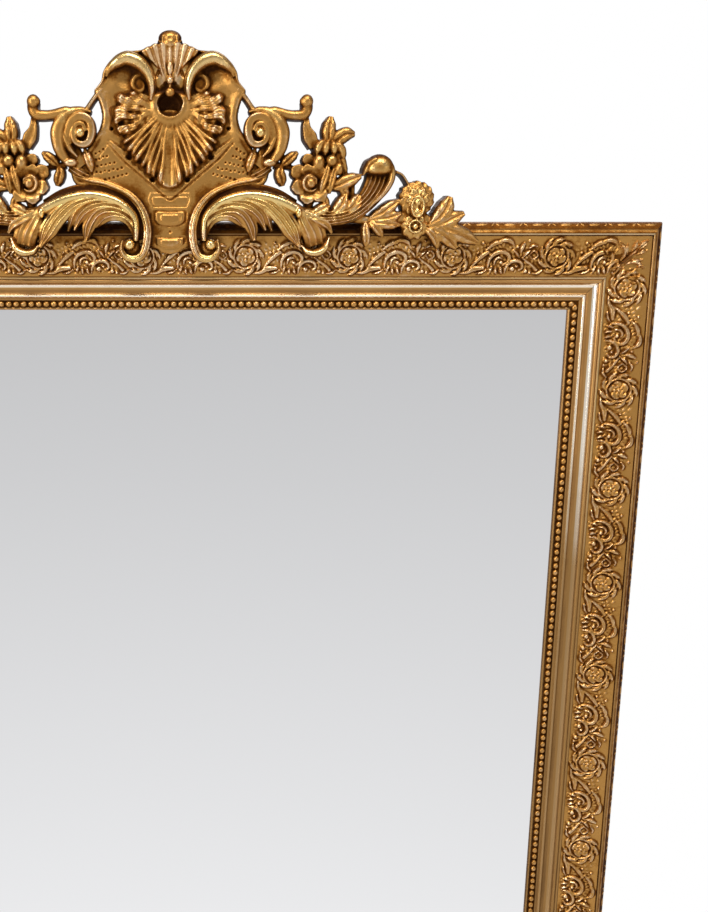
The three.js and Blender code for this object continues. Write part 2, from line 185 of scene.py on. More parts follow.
def carvedGilt():
    # gold leaf over red bole on carved work: bright tops, copper flanks, umber in the hollows
    look = {"hollow": (0.040, 0.011, 0.001), "bole": (0.175, 0.058, 0.005),
            "leaf": (0.485, 0.246, 0.062), "rubbed": (0.84, 0.62, 0.38), "bright": (0.88, 0.63, 0.235),
            "patchScale": 11.0, "grainScale": 520.0}
    finish, tree, shader = newFinish("carvedGilt")
    coords = objectCoords(tree)
    wear = useWear(tree, coords, look["patchScale"], look["grainScale"])
    # the relief layer holds the carving's own tops and hollows together with painted light and shade
    relief = addNode(tree, "ShaderNodeAttribute", attribute_name="relief").outputs["Fac"]
    shine = addNode(tree, "ShaderNodeAttribute", attribute_name="shine").outputs["Fac"]
    patchShift = mathNode(tree, "MULTIPLY_ADD", wear.outputs["Patch"], 0.42, -0.21)
    grainShift = mathNode(tree, "MULTIPLY_ADD", wear.outputs["Grain"], 0.22, -0.11)
    mottleShift = mathNode(tree, "MULTIPLY_ADD", wear.outputs["Mottle"], 0.46, -0.23)
    height = mathNode(tree, "ADD", relief, patchShift)
    height = mathNode(tree, "ADD", height, mottleShift)
    height = mathNode(tree, "ADD", height, grainShift, clamp=True)
    colour = rampNode(tree, height, [(0.0, look["hollow"]), (0.24, look["bole"]), (0.45, look["leaf"]),
                                     (0.60, look["leaf"]), (0.95, look["rubbed"])])
    # parts that the stone has polished keep a clearer yellow, which also serves as a painted highlight
    clear = spread(tree, height, 0.3, 0.7, 0.0, 0.85)
    polishAndHighlight = mathNode(tree, "MULTIPLY", shine, clear, clamp=True)
    colour = mixColour(tree, polishAndHighlight, colour, look["bright"])
    tree.links.new(colour, shader.inputs["Base Color"])
    metal = spread(tree, height, 0.12, 0.42, 0.3, 1.0)
    tree.links.new(metal, shader.inputs["Metallic"])
    rough = spread(tree, height, 0.1, 0.9, 0.52, 0.27)
    roughGrain = mathNode(tree, "MULTIPLY_ADD", wear.outputs["Grain"], 0.16, -0.08)
    roughAll = mathNode(tree, "ADD", rough, roughGrain)
    roughAll = mathNode(tree, "MULTIPLY_ADD", polishAndHighlight, -0.15, roughAll, clamp=True)
    tree.links.new(roughAll, shader.inputs["Roughness"])
    # thin old varnish left on the tops
    glaze = spread(tree, height, 0.40, 0.86, 0.0, 0.50)
    unpolished = mathNode(tree, "MULTIPLY_ADD", polishAndHighlight, -0.8, 1.0)
    glazed = mathNode(tree, "MULTIPLY", glaze, unpolished)
    tree.links.new(glazed, shader.inputs["Coat Weight"])
    shader.inputs["Coat Roughness"].default_value = 0.34
    shader.inputs["Specular IOR Level"].default_value = 0.06
    marks = mathNode(tree, "MULTIPLY_ADD", wear.outputs["Mottle"], 2.0, wear.outputs["Grain"])
    addBump(tree, shader, marks, 0.30, 0.0010)
    return finish


def burnishedGilt():
    # plain mouldings, polished with the stone, with painted light: bright at the top of the frame,
    # painted dull and tan below as shade
    look = {"groove": (0.050, 0.016, 0.005), "copper": (0.48, 0.250, 0.080),
            "leaf": (0.68, 0.46, 0.205), "pale": (0.98, 0.88, 0.74), "shadedTan": (0.325, 0.174, 0.055),
            "fadeFrom": -0.34, "fadeTo": -0.20, "patchScale": 7.0, "grainScale": 700.0}
    finish, tree, shader = newFinish("burnishedGilt")
    coords = objectCoords(tree)
    wear = useWear(tree, coords, look["patchScale"], look["grainScale"])
    relief = addNode(tree, "ShaderNodeAttribute", attribute_name="relief").outputs["Fac"]
    patchShift = mathNode(tree, "MULTIPLY_ADD", wear.outputs["Patch"], 0.5, -0.25)
    height = mathNode(tree, "ADD", relief, patchShift, clamp=True)
    # the pale top of the ramp is a painted reflection on the burnish
    colour = rampNode(tree, height, [
        (0.0, look["groove"]), (0.28, look["copper"]), (0.56, look["leaf"]), (1.0, look["pale"])])
    colour = mixColour(tree, mathNode(tree, "MULTIPLY", wear.outputs["Specks"], 0.35), colour,
                       look["copper"])
    # painted shade: the burnish turns dull and tan lower down the frame
    up = addNode(tree, "ShaderNodeSeparateXYZ", {"Vector": coords}).outputs["Z"]
    up = mathNode(tree, "ADD", up, mathNode(tree, "MULTIPLY_ADD", wear.outputs["Patch"], 0.16, -0.08))
    fade = spread(tree, up, look["fadeFrom"], look["fadeTo"], 0.95, 0.0)
    reliefBelow = spread(tree, height, 0.02, 0.26, 0.0, 1.0)
    shadedBelow = mixColour(tree, reliefBelow, look["groove"], look["shadedTan"])
    shadedBelow = mixColour(tree, mathNode(tree, "MULTIPLY", height, 0.12), shadedBelow, look["leaf"])
    colour = mixColour(tree, fade, colour, shadedBelow)
    tree.links.new(colour, shader.inputs["Base Color"])
    metal = spread(tree, height, 0.08, 0.34, 0.5, 1.0)
    tree.links.new(metal, shader.inputs["Metallic"])
    rough = spread(tree, height, 0.1, 0.9, 0.44, 0.16)
    tree.links.new(mathNode(tree, "MULTIPLY_ADD", fade, 0.12, rough),
                   shader.inputs["Roughness"])
    shader.inputs["Specular IOR Level"].default_value = 0.15
    addBump(tree, shader, wear.outputs["Grain"], 0.08, 0.0006)
    return finish


def bareWood(name, stretched):
    # hidden backs: old softwood gone brown, with long grain and a few dark stains
    look = {"pale": (0.30, 0.19, 0.105), "dark": (0.105, 0.060, 0.032), "stain": (0.045, 0.028, 0.018)}
    finish, tree, shader = newFinish(name)
    coords = objectCoords(tree)
    stretch = addNode(tree, "ShaderNodeMapping", {"Vector": coords, "Scale": stretched})
    grain = addNode(tree, "ShaderNodeTexNoise", {
        "Vector": stretch.outputs["Vector"], "Scale": 3.0, "Detail": 8.0, "Roughness": 0.66,
        "Distortion": 0.8})
    wear = useWear(tree, coords, 3.2, 300.0)
    colour = rampNode(tree, grain.outputs["Fac"], [(0.3, look["dark"]), (0.62, look["pale"])])
    stained = mathNode(tree, "MULTIPLY_ADD", wear.outputs["Patch"], 3.2, -1.75, clamp=True)
    colour = mixColour(tree, mathNode(tree, "MULTIPLY", stained, 0.6), colour, look["stain"])
    tree.links.new(colour, shader.inputs["Base Color"])
    rough = mathNode(tree, "MULTIPLY_ADD", grain.outputs["Fac"], 0.25, 0.62)
    tree.links.new(rough, shader.inputs["Roughness"])
    addBump(tree, shader, grain.outputs["Fac"], 0.3, 0.0012)
    return finish


def silveredPlate():
    # old looking-glass: clear silver with a trace of haze and a few foxed spots
    look = {"silver": (0.87, 0.872, 0.88), "fox": (0.30, 0.27, 0.23)}
    finish, tree, shader = newFinish("silveredPlate")
    coords = objectCoords(tree)
    wear = useWear(tree, coords, 2.4, 90.0)
    rare = mathNode(tree, "MULTIPLY_ADD", wear.outputs["Patch"], 7.0, -4.9, clamp=True)
    spots = mathNode(tree, "MULTIPLY", rare, wear.outputs["Specks"])
    colour = mixColour(tree, mathNode(tree, "MULTIPLY", spots, 0.5), look["silver"], look["fox"])
    tree.links.new(colour, shader.inputs["Base Color"])
    rough = mathNode(tree, "MULTIPLY_ADD", wear.outputs["Patch"], 0.02, 0.004)
    tree.links.new(rough, shader.inputs["Roughness"])
    shader.inputs["Metallic"].default_value = 1.0
    return finish


def platePaint():
    # brown paint that keeps the silvering from the damp
    finish, tree, shader = newFinish("platePaint")
    wear = useWear(tree, objectCoords(tree), 6.0, 260.0)
    colour = mixColour(tree, wear.outputs["Patch"], (0.050, 0.030, 0.020), (0.115, 0.075, 0.050))
    tree.links.new(colour, shader.inputs["Base Color"])
    shader.inputs["Roughness"].default_value = 0.72
    return finish


giltCarved = carvedGilt()
giltBurnished = burnishedGilt()
backWood = bareWood("bareWoodUpright", (26.0, 26.0, 1.6))
crossWood = bareWood("bareWoodAcross", (1.6, 26.0, 26.0))
glassSilver = silveredPlate()
glassBack = platePaint()
print("finishes made")


# mesh helpers: pieces are gathered as arrays in millimetres (x, depth from the wall, height) and joined

class Gather:
    def __init__(self):
        self.points, self.faces, self.relief, self.finish = [], [], [], []
        self.count = 0

    def add(self, points, faces, relief=0.5, finish=0):
        points = np.asarray(points, float).reshape(-1, 3)
        self.points.append(points)
        self.faces.extend([tuple(int(i) + self.count for i in f) for f in faces])
        self.finish.extend([finish] * len(faces) if np.isscalar(finish) else list(finish))
        self.relief.append(np.broadcast_to(np.asarray(relief, float), (len(points),)).copy())
        self.count += len(points)

    def mesh(self, name):
        points = np.concatenate(self.points)
        made = bpy.data.meshes.new(name)
        made.from_pydata((np.stack([points[:, 0], -points[:, 1], points[:, 2]], 1) * mm).tolist(), [],
                         self.faces)
        made.polygons.foreach_set("material_index", np.array(self.finish, np.int32))
        made.update()
        return made, np.concatenate(self.relief)


def outward(made):
    work = bmesh.new()
    work.from_mesh(made)
    bmesh.ops.recalc_face_normals(work, faces=work.faces)
    work.to_mesh(made)
    work.free()


def storeLayer(made, name, values):
    layer = made.attributes.get(name) or made.attributes.new(name, "FLOAT", "POINT")
    layer.data.foreach_set("value", np.clip(values, 0, 1).astype(np.float32))


def newObject(name, data):
    made = bpy.data.objects.new(name, data)
    bpy.context.scene.collection.objects.link(made)
    return made


def placePiece(name, made, finishes, node):
    for finish in finishes:
        made.materials.append(finish)
    piece = newObject(name, made)
    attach(piece, "root")
    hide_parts(node)


def solvedMesh(piece):
    # the mesh that the modifiers give
    return bpy.data.meshes.new_from_object(piece.evaluated_get(bpy.context.evaluated_depsgraph_get()))


def triangleCount(made):
    return sum(len(p.vertices) - 2 for p in made.polygons)


def gridQuads(index):
    return np.stack([index[:-1, :-1], index[:-1, 1:], index[1:, 1:], index[1:, :-1]], -1)


def smoothStep(low, high, value):
    t = np.clip((value - low) / (high - low), 0, 1)
    return t * t * (3 - 2 * t)


def domed(gap, power=2):
    # round profile: 1 in the middle, 0 where the gap reaches 1
    return np.sqrt(np.clip(1 - gap ** power, 0, 1))


def blendIn(ground, face, mask):
    return ground * (1 - mask) + face * mask


def keyed(values, t):
    if np.isscalar(values):
        return np.full_like(t, float(values))
    values = np.asarray(values, float)
    place = t * (len(values) - 1)
    low = np.clip(np.floor(place).astype(int), 0, len(values) - 2)
    part = place - low
    part = part * part * (3 - 2 * part) * 0.5 + part * 0.5
    return values[low] * (1 - part) + values[low + 1] * part


def smoothPath(points, count):
    # even samples of a rounded curve through the points, with unit directions
    p = np.asarray(points, float)
    if len(p) == 2:
        fine = p[0] + (p[1] - p[0]) * np.linspace(0, 1, 200)[:, None]
    else:
        ends = np.vstack([2 * p[0] - p[1], p, 2 * p[-1] - p[-2]])
        u = np.linspace(0, 1, 40, endpoint=False)[:, None]
        parts = []
        for k in range(len(p) - 1):
            a, b, c, d = ends[k], ends[k + 1], ends[k + 2], ends[k + 3]
            parts.append(0.5 * (2 * b + (c - a) * u + (2 * a - 5 * b + 4 * c - d) * u ** 2
                                + (3 * b - a - 3 * c + d) * u ** 3))
        fine = np.vstack(parts + [p[-1:]])
    length = np.concatenate([[0], np.cumsum(np.linalg.norm(np.diff(fine, axis=0), axis=1))])
    at = np.linspace(0, length[-1], count)
    path = np.stack([np.interp(at, length, fine[:, i]) for i in range(2)], 1)
    along = np.gradient(path, axis=0)
    along /= np.linalg.norm(along, axis=1)[:, None] + 1e-9
    return path, along


def spiralPoints(centre, outer, inner, start, sweep, count=26):
    t = np.linspace(0, 1, count)
    radius = outer + (inner - outer) * t ** 0.85
    angle = np.radians(start + sweep * t)
    return np.stack([centre[0] + radius * np.cos(angle), centre[1] + radius * np.sin(angle)], 1)


# floor and light

stageSet = {"floor": -1.4065, "front": -0.86, "behind": 0.8, "half": 2.6}


def paleFloor():
    low, size = stageSet["floor"], stageSet
    made = bpy.data.meshes.new("paleFloor")
    corners = [(-size["half"], size["front"], low), (size["half"], size["front"], low),
               (size["half"], size["behind"], low), (-size["half"], size["behind"], low)]
    made.from_pydata(corners, [], [(0, 1, 2, 3)])
    finish, _, shader = newFinish("paleFloorPaint")
    shader.inputs["Base Color"].default_value = (0.86, 0.86, 0.86, 1)
    shader.inputs["Roughness"].default_value = 0.8
    made.materials.append(finish)
    floor = newObject("paleFloor", made)


def softLight(name, place, aim, size, power, tint=(1, 1, 1)):
    data = bpy.data.lights.new(name, "AREA")
    data.shape = "RECTANGLE"
    data.size, data.size_y = size
    data.energy = power
    data.color = tint
    lamp = newObject(name, data)
    lamp.location = place
    lamp.rotation_euler = (Vector(aim) - Vector(place)).to_track_quat("-Z", "Y").to_euler()


def studio():
    paleFloor()
    aim = (0.15, 0.0, -0.3)
    softLight("ceilingBox", (0.2, -1.3, 2.3), aim, (2.2, 0.9), 66.0, (1.0, 0.97, 0.95))
    softLight("leftBox", (-2.6, -1.9, 0.7), aim, (0.9, 2.2), 68.0, (1.0, 0.98, 0.95))
    softLight("rightBox", (2.8, -2.2, 0.2), aim, (0.8, 2.0), 10.0)
    softLight("backBox", (0.6, 2.6, 1.6), aim, (2.0, 2.0), 40.0)
    world = bpy.data.worlds.new("studioWorld")
    world.use_nodes = True
    bpy.context.scene.world = world
    tree = world.node_tree
    tree.nodes.clear()
    coords = tree.nodes.new("ShaderNodeTexCoord").outputs["Generated"]
    up = addNode(tree, "ShaderNodeSeparateXYZ", {"Vector": coords}).outputs["Z"]
    height = mathNode(tree, "MULTIPLY_ADD", up, 0.5, 0.5)
    # paler towards the floor, as the glass shows it, dim above eye level
    room = rampNode(tree, height, [(0.0, (0.55, 0.55, 0.55)), (0.22, (0.95, 0.95, 0.955)),
                                   (0.26, (0.885, 0.885, 0.89)), (0.32, (0.80, 0.80, 0.805)),
                                   (0.388, (0.71, 0.71, 0.715)), (0.457, (0.635, 0.635, 0.64)),
                                   (0.55, (0.43, 0.425, 0.42)), (0.75, (0.30, 0.295, 0.29)),
                                   (1.0, (0.30, 0.30, 0.30))])
    seen = tree.nodes.new("ShaderNodeLightPath").outputs["Is Camera Ray"]
    colour = mixColour(tree, seen, room, (1.0, 1.0, 1.0))
    shade = addNode(tree, "ShaderNodeBackground", {"Color": colour, "Strength": 1.0})
    output = tree.nodes.new("ShaderNodeOutputWorld")
    tree.links.new(shade.outputs["Background"], output.inputs["Surface"])
    bpy.context.scene.view_settings.view_transform = "Standard"


studio()
print("stage and lights set")


# running scroll of the frieze: one repeat carved into a height field
# s runs along the rail, v across it, + towards the glass

friezeSet = {"repeat": 114.5, "outer": 15.2, "inner": 59.4, "depthOut": 44.4, "depthIn": 36.4,
             "relief": 3.9, "topPhase": 83.5, "sidePhase": -653.0, "pitch": 0.9, "across": 57,
             "sink": 1.2, "slim": 0.92, "tileHalf": 22.1, "mitreGap": 0.15, "slopeFrom": 15.0,
             "slopeSpan": 44.5}


def raiseStroke(field, gridS, gridV, points, width, height, groove=0.0, repeat=None):
    # a rounded, tapering stroke laid over what is already there
    path, along = smoothPath(points, 46)
    t = np.linspace(0, 1, len(path))
    widths, heights = keyed(width, t), keyed(height, t)
    shifts = (-repeat, 0.0, repeat) if repeat else (0.0,)
    for shift in shifts:
        near = ((gridS > path[:, 0].min() + shift - 14) & (gridS < path[:, 0].max() + shift + 14))
        if not near.any():
            continue
        s, v = gridS[near][:, None], gridV[near][:, None]
        ds, dv = s - path[None, :, 0] - shift, v - path[None, :, 1]
        gap = np.sqrt(ds ** 2 + dv ** 2) / widths[None, :]
        lift = heights[None, :] * domed(gap)
        if groove:
            side = np.abs(ds * -along[None, :, 1] + dv * along[None, :, 0]) / widths[None, :]
            lift = lift * (1 - groove * np.exp(-(side / 0.22) ** 2))
        field[near] = np.maximum(field[near], lift.max(axis=1))


def raiseBall(field, gridS, gridV, place, radius, height, repeat=None):
    for shift in ((-repeat, 0.0, repeat) if repeat else (0.0,)):
        gap = np.hypot(gridS - place[0] - shift, gridV - place[1]) / radius
        field[:] = np.maximum(field, height * domed(gap))


def raiseRose(field, gridS, gridV, repeat):
    # open rose: boss, inner petals, outer petals with turned edges, none quite alike
    tall = friezeSet["relief"]
    for shift in (0.0, repeat):
        ds, dv = gridS - shift, gridV
        r = np.hypot(ds, dv)
        a = np.arctan2(dv, ds) + 0.07 * r
        outer = np.abs(np.cos(2.5 * a + 0.4 + 0.25 * np.sin(2 * a)))
        rim = 8.4 + 2.4 * outer
        lift = tall * (0.50 + 0.36 * (r / rim) ** 3) * (0.10 + 0.90 * outer ** 0.7)
        lift = lift * smoothStep(1.04, 0.94, r / rim)
        inner = np.abs(np.cos(2.5 * a + 1.9 + 0.3 * np.sin(3 * a)))
        rim = 4.6 + 1.4 * inner
        over = smoothStep(1.02, 0.92, r / rim)
        lift = blendIn(lift, tall * (0.62 + 0.36 * (r / rim) ** 3) * (0.15 + 0.85 * inner ** 0.7), over)
        lift = np.maximum(lift, tall * domed(r / 2.0))
        field[:] = np.where(r < 11.0, np.maximum(field, lift), field)


def friezeTile():
    size = friezeSet
    repeat, high = size["repeat"], size["relief"]
    countS, countV = 340, 130
    s = (np.arange(countS) * repeat / countS)[None, :]
    v = np.linspace(-size["tileHalf"], size["tileHalf"], countV)[:, None]
    gridS, gridV = np.broadcast_arrays(s, v)
    gridS, gridV = gridS.copy(), gridV.copy()
    field = np.zeros((countV, countS))

    def stroke(points, width, height=high, groove=0.0):
        slim = [w * size["slim"] for w in width]
        raiseStroke(field, gridS, gridV, points, slim, height, groove, repeat)

    def ball(place, radius, height=high):
        raiseBall(field, gridS, gridV, place, radius, height, repeat)

    def arc(turn, steps):
        return [(radius * math.cos(math.radians(turn + k)), radius * math.sin(math.radians(turn + k)))
                for radius, k in steps]

    # wreath: a thin ring round the rose, then two rows of leaves that overlap like commas
    low = high * 0.62
    stroke(spiralPoints((0, 0), 13.0, 12.9, 40, 360, 40), [1.5, 1.7, 1.6, 1.7, 1.5], low * 1.15)
    for turn, reach, fat, tall in ((8, 20.6, 2.4, high), (47, 20.2, 2.6, high),
                                   (88, 19.6, 2.3, low * 1.2), (128, 20.4, 2.6, high),
                                   (168, 19.8, 2.4, high), (208, 20.2, 2.5, high),
                                   (246, 20.6, 2.6, high), (284, 20.8, 2.5, high),
                                   (324, 20.2, 2.3, low * 1.2)):
        curl = arc(turn, ((13.8, 0), (16.4, 16), (18.6, 31), (reach, 44)))
        stroke(curl, [1.0, fat, fat * 0.9, 0.7], [low, tall, tall, low * 0.7], 0.3)
        hook = arc(turn, ((15.6, 24), (16.4, 33), (16.6, 41)))
        stroke(hook, [0.7, 1.2, 0.7], [low * 0.7, low, low * 0.6])
    raiseRose(field, gridS, gridV, repeat)
    # pair of fat leaves leaving the wreath
    stroke([(9, 18.5), (17, 17.5), (24, 13.5), (34, 12.5)], [0.9, 2.2, 3.6, 2.4],
           [low, high * 0.8, high, high * 0.8], 0.25)
    stroke([(20, 13), (25, 6.5), (31, 0), (38.5, -5)], [0.9, 1.9, 3.0, 2.0],
           [low, high * 0.8, high, high * 0.7], 0.25)
    stroke([(27, 18.5), (33, 17.5), (38, 14.5)], [0.9, 1.7, 0.8], [low, high * 0.8, low])
    # arched leaf on the outer side, in two lobes
    stroke([(36, -7), (41, -12), (47.5, -15.2), (52, -15)], [1.0, 2.2, 3.0, 1.6],
           [low, high, high, low], 0.25)
    stroke([(50, -16.5), (57, -18), (62.5, -16.4), (66, -12.5)], [1.4, 2.6, 3.0, 1.2],
           [low, high, high, low], 0.25)
    # large scroll
    stroke([(39.5, 12), (40, 4), (44, -2), (51, -5), (58, -4), (62, 0.5), (61, 6.5), (56, 9)],
           [1.2, 2.0, 2.5, 2.9, 2.9, 2.6, 2.2, 1.4],
           [low, high * 0.9, high, high, high, high, high * 0.8, low], 0.22)
    stroke([(46, 9), (47, 3.5), (51, 1), (54.5, 2.5)], [1.0, 1.7, 1.9, 1.1],
           [low, high * 0.8, high * 0.8, low])
    ball((53.5, 6.5), 2.4, high * 0.85)
    for place, tip in (((44, 11), (42.5, 17.5)), ((48.5, 12.5), (49.5, 19.5)),
                       ((54, 12.5), (55.5, 19))):
        middle = ((place[0] + tip[0]) / 2 - 0.8, (place[1] + tip[1]) / 2)
        stroke([place, middle, tip], [1.0, 2.0, 0.9], [low, high * 0.9, low])
    # small scroll with its ball
    stroke([(58.5, 18), (59.5, 11.5), (64, 6), (70.5, 4.4), (76, 7), (77.5, 12), (74, 15)],
           [1.0, 1.7, 2.1, 2.4, 2.2, 1.8, 1.0],
           [low, high * 0.85, high, high, high, high * 0.8, low], 0.2)
    ball((66.5, 13.5), 3.1, high)
    ball((71.5, 10.8), 1.7, high * 0.7)
    ball((81.5, 16), 2.5, high * 0.9)
    ball((86.5, 18), 1.7, high * 0.7)
    # bud, ties and leaves before the next wreath
    stroke([(74.5, -4.5), (75, -9), (77.5, -14.5)], [1.2, 2.7, 1.4], [low, high, high * 0.8], 0.2)
    stroke([(78, 0), (81, -4), (84.5, -6.5)], [0.9, 1.8, 1.0], [low, high, low])
    stroke([(83, -9), (87.5, -12), (92.5, -11)], [0.8, 1.6, 0.9], [low, high * 0.8, low])
    stroke([(84, -1.5), (88.5, 2.8), (93.5, -1.5), (89, -6.5), (84.5, -2.5)],
           [1.0, 1.2, 1.2, 1.2, 1.0], low * 1.1)
    stroke([(77, 1.5), (82, 5.5), (88, 9.5), (93, 14.5)], [1.0, 1.6, 1.8, 2.4],
           [low, low * 1.1, high * 0.8, high], 0.2)
    stroke([(90, 18.5), (95.5, 18), (100, 14.5)], [0.9, 2.0, 1.0], [low, high * 0.9, low])
    stroke([(66, -7.5), (70, -3.5), (73, 1)], [0.9, 1.7, 0.9], [low, high * 0.8, low])
    ball((70.5, -10.5), 1.6, high * 0.7)
    ball((83, -17), 1.5, high * 0.6)
    ball((32, -14.5), 1.6, high * 0.6)
    ball((27.5, -4.0), 1.4, high * 0.55)
    # small flat leaves fill the ground between, turned round the nearest wreath
    bare = blurGrid(field, 2.0, 2.0)
    for k in range(96):
        s0 = 22.0 + (k * 0.618034 % 1.0) * (repeat - 44.0)
        v0 = -13.5 + 33.0 * ((k * 0.754878) % 1.0)
        row = int(round((v0 + size["tileHalf"]) / (2 * size["tileHalf"]) * (countV - 1)))
        if bare[row, int(s0 / repeat * countS)] > 0.75:
            continue
        away = s0 if s0 < repeat / 2 else s0 - repeat
        turn = math.atan2(v0, away) + 1.25 + 0.7 * math.sin(5.0 * k)
        reach, bow = 2.6 + 0.9 * math.sin(2.3 * k), 0.9 * math.sin(1.7 * k)
        along, side = (math.cos(turn), math.sin(turn)), (-math.sin(turn), math.cos(turn))
        path = [(s0 + along[0] * reach * q + side[0] * bow * (1 - q * q),
                 v0 + along[1] * reach * q + side[1] * bow * (1 - q * q)) for q in (-1.0, 0.0, 1.0)]
        stroke(path, [0.6, 1.5, 0.5], [high * 0.18, high * 0.36, high * 0.16], 0.3)
    return field


def blurGrid(grid, sigmaRows, sigmaCols):
    rows = np.fft.fftfreq(grid.shape[0])[:, None]
    cols = np.fft.rfftfreq(grid.shape[1])[None, :]
    soft = np.exp(-2 * (math.pi ** 2) * ((rows * sigmaRows) ** 2 + (cols * sigmaCols) ** 2))
    return np.fft.irfft2(np.fft.rfft2(grid) * soft, s=grid.shape)


scrollTile = friezeTile()
scrollTile = blurGrid(np.pad(scrollTile, ((8, 8), (0, 0))), 0.75, 0.75)[8:-8]
scrollTile = np.clip(scrollTile, 0, None)
scrollSoft = blurGrid(np.pad(scrollTile, ((20, 20), (0, 0)), mode="reflect"), 4.4, 4.4)[20:-20]


def cornerSpray(a, u):
    # small leaves and knops filling the corner, the same on both sides of the mitre
    spray = np.zeros_like(a)
    flat = spray.reshape(-1)
    gridA, gridU = a.reshape(-1), u.reshape(-1)
    high = friezeSet["relief"]
    leaves = [([(48, 48), (40, 40), (32, 32.6), (27, 27.6)], [1.0, 1.5, 1.4, 0.8], 0.2),
              ([(27, 29), (23, 25), (19.5, 20)], [0.8, 1.9, 0.7], 0.2),
              ([(31, 35.5), (26, 33), (20, 31)], [0.9, 2.1, 0.8], 0.2),
              ([(35, 40), (30, 41.5), (24, 41)], [0.8, 1.6, 0.7], 0.2),
              ([(46, 41), (43.5, 34), (45, 27), (50, 22)], [0.9, 1.6, 1.9, 0.8], 0.2),
              ([(57, 52), (50, 48), (43, 50)], [0.9, 1.6, 0.8], 0.2),
              ([(60, 38), (60.5, 31), (58, 25.5)], [0.9, 3.0, 1.6], 0.15),
              ([(62, 37), (67, 31), (66.5, 26)], [0.7, 1.5, 0.7], 0.2),
              ([(55, 36), (51.5, 30)], [0.7, 1.2], 0.2)]
    mirrored = [([(q, p) for p, q in points], width, groove) for points, width, groove in leaves]
    for points, width, groove in leaves + mirrored:
        heights = [high * 0.5] + [high] * (len(points) - 2) + [high * 0.45]
        raiseStroke(flat, gridA, gridU, points, width, heights, groove)
    for place, radius in (((37, 44), 1.8), ((31, 24.5), 1.9), ((27, 48), 1.5)):
        raiseBall(flat, gridA, gridU, place, radius, high * 0.8)
        raiseBall(flat, gridA, gridU, place[::-1], radius, high * 0.8)
    return flat.reshape(a.shape)


def sampleTile(tile, s, v):
    rows, cols = tile.shape
    half = friezeSet["tileHalf"]
    x = (s / friezeSet["repeat"] % 1.0) * cols
    y = np.clip((v + half) / (2 * half) * (rows - 1), 0, rows - 1.001)
    x0, y0 = np.floor(x).astype(int), np.floor(y).astype(int)
    fx, fy = x - x0, y - y0
    x0, x1 = x0 % cols, (x0 + 1) % cols
    top = tile[y0, x0] * (1 - fx) + tile[y0, x1] * fx
    low = tile[y0 + 1, x0] * (1 - fx) + tile[y0 + 1, x1] * fx
    return top * (1 - fy) + low * fy


def friezeSlab(length, phase, kept):
    # closed strip with the carving on its face, cut to the mitres
    size = friezeSet
    across = size["across"]
    along = int(length / size["pitch"])
    u = np.linspace(size["outer"], size["inner"], across)[:, None]
    half = length / 2 - size["mitreGap"] - u
    s = half * np.linspace(-1, 1, along)[None, :]
    u = np.broadcast_to(u, s.shape)
    v = u - (size["outer"] + size["inner"]) / 2
    fade = smoothStep(0.0, 2.2, u - size["outer"]) * smoothStep(0.0, 2.2, size["inner"] - u)
    a = length / 2 - np.abs(s)
    run = smoothStep(46, 58, a)
    lift = sampleTile(scrollTile, s - phase, v) * run
    soft = sampleTile(scrollSoft, s - phase, v) * run
    spray = np.zeros_like(lift)
    ends = a < 74
    spray[ends] = cornerSpray(a[ends], u[ends]) * smoothStep(-0.3, 0.5, a[ends] - u[ends])
    lift, soft = np.maximum(lift, spray) * fade, soft + spray * 0.74
    slope = (size["depthOut"] - size["depthIn"]) / size["slopeSpan"]
    d = size["depthOut"] - (u - size["slopeFrom"]) * slope
    tilt = math.atan(slope)
    ground = np.stack([s, d + math.cos(tilt) * lift, u + math.sin(tilt) * lift], -1)
    # ground beside a stroke is darker than open ground, and the run under the crest is painted lighter as
    # painted light against the crest's shadow
    relief = 0.50 + 0.09 * (kept and smoothStep(kept, kept - 60, np.abs(s))) + (lift - soft) * 0.28
    relief -= 0.26 * np.clip(soft / 1.2, 0, 1.0) * smoothStep(0.9, 0.3, lift)
    if kept:
        # painted shadow of the crest along the outer edge under it
        relief -= 0.24 * smoothStep(27, 18, u) * smoothStep(kept, kept - 50, np.abs(s))
    index = np.arange(across * along).reshape(across, along)
    faces = gridQuads(index).reshape(-1, 4).tolist()
    edge = np.concatenate([index[0, :], index[1:, -1], index[-1, -2::-1], index[-2:0:-1, 0]])
    points = ground.reshape(-1, 3)
    base = points[edge].copy()
    base[:, 1] -= size["sink"]
    start = len(points)
    ring = np.arange(start, start + len(edge))
    following = np.roll(np.arange(len(edge)), -1)
    faces += [(edge[i], ring[i], ring[j], edge[j]) for i, j in enumerate(following)]
    faces.append(tuple(ring[::-1]))
    values = np.concatenate([relief.reshape(-1), np.full(len(edge), 0.1)])
    return np.vstack([points, base]), faces, values


# beads and the ribbon on the outer edge: rows of small shapes set out by geometry nodes

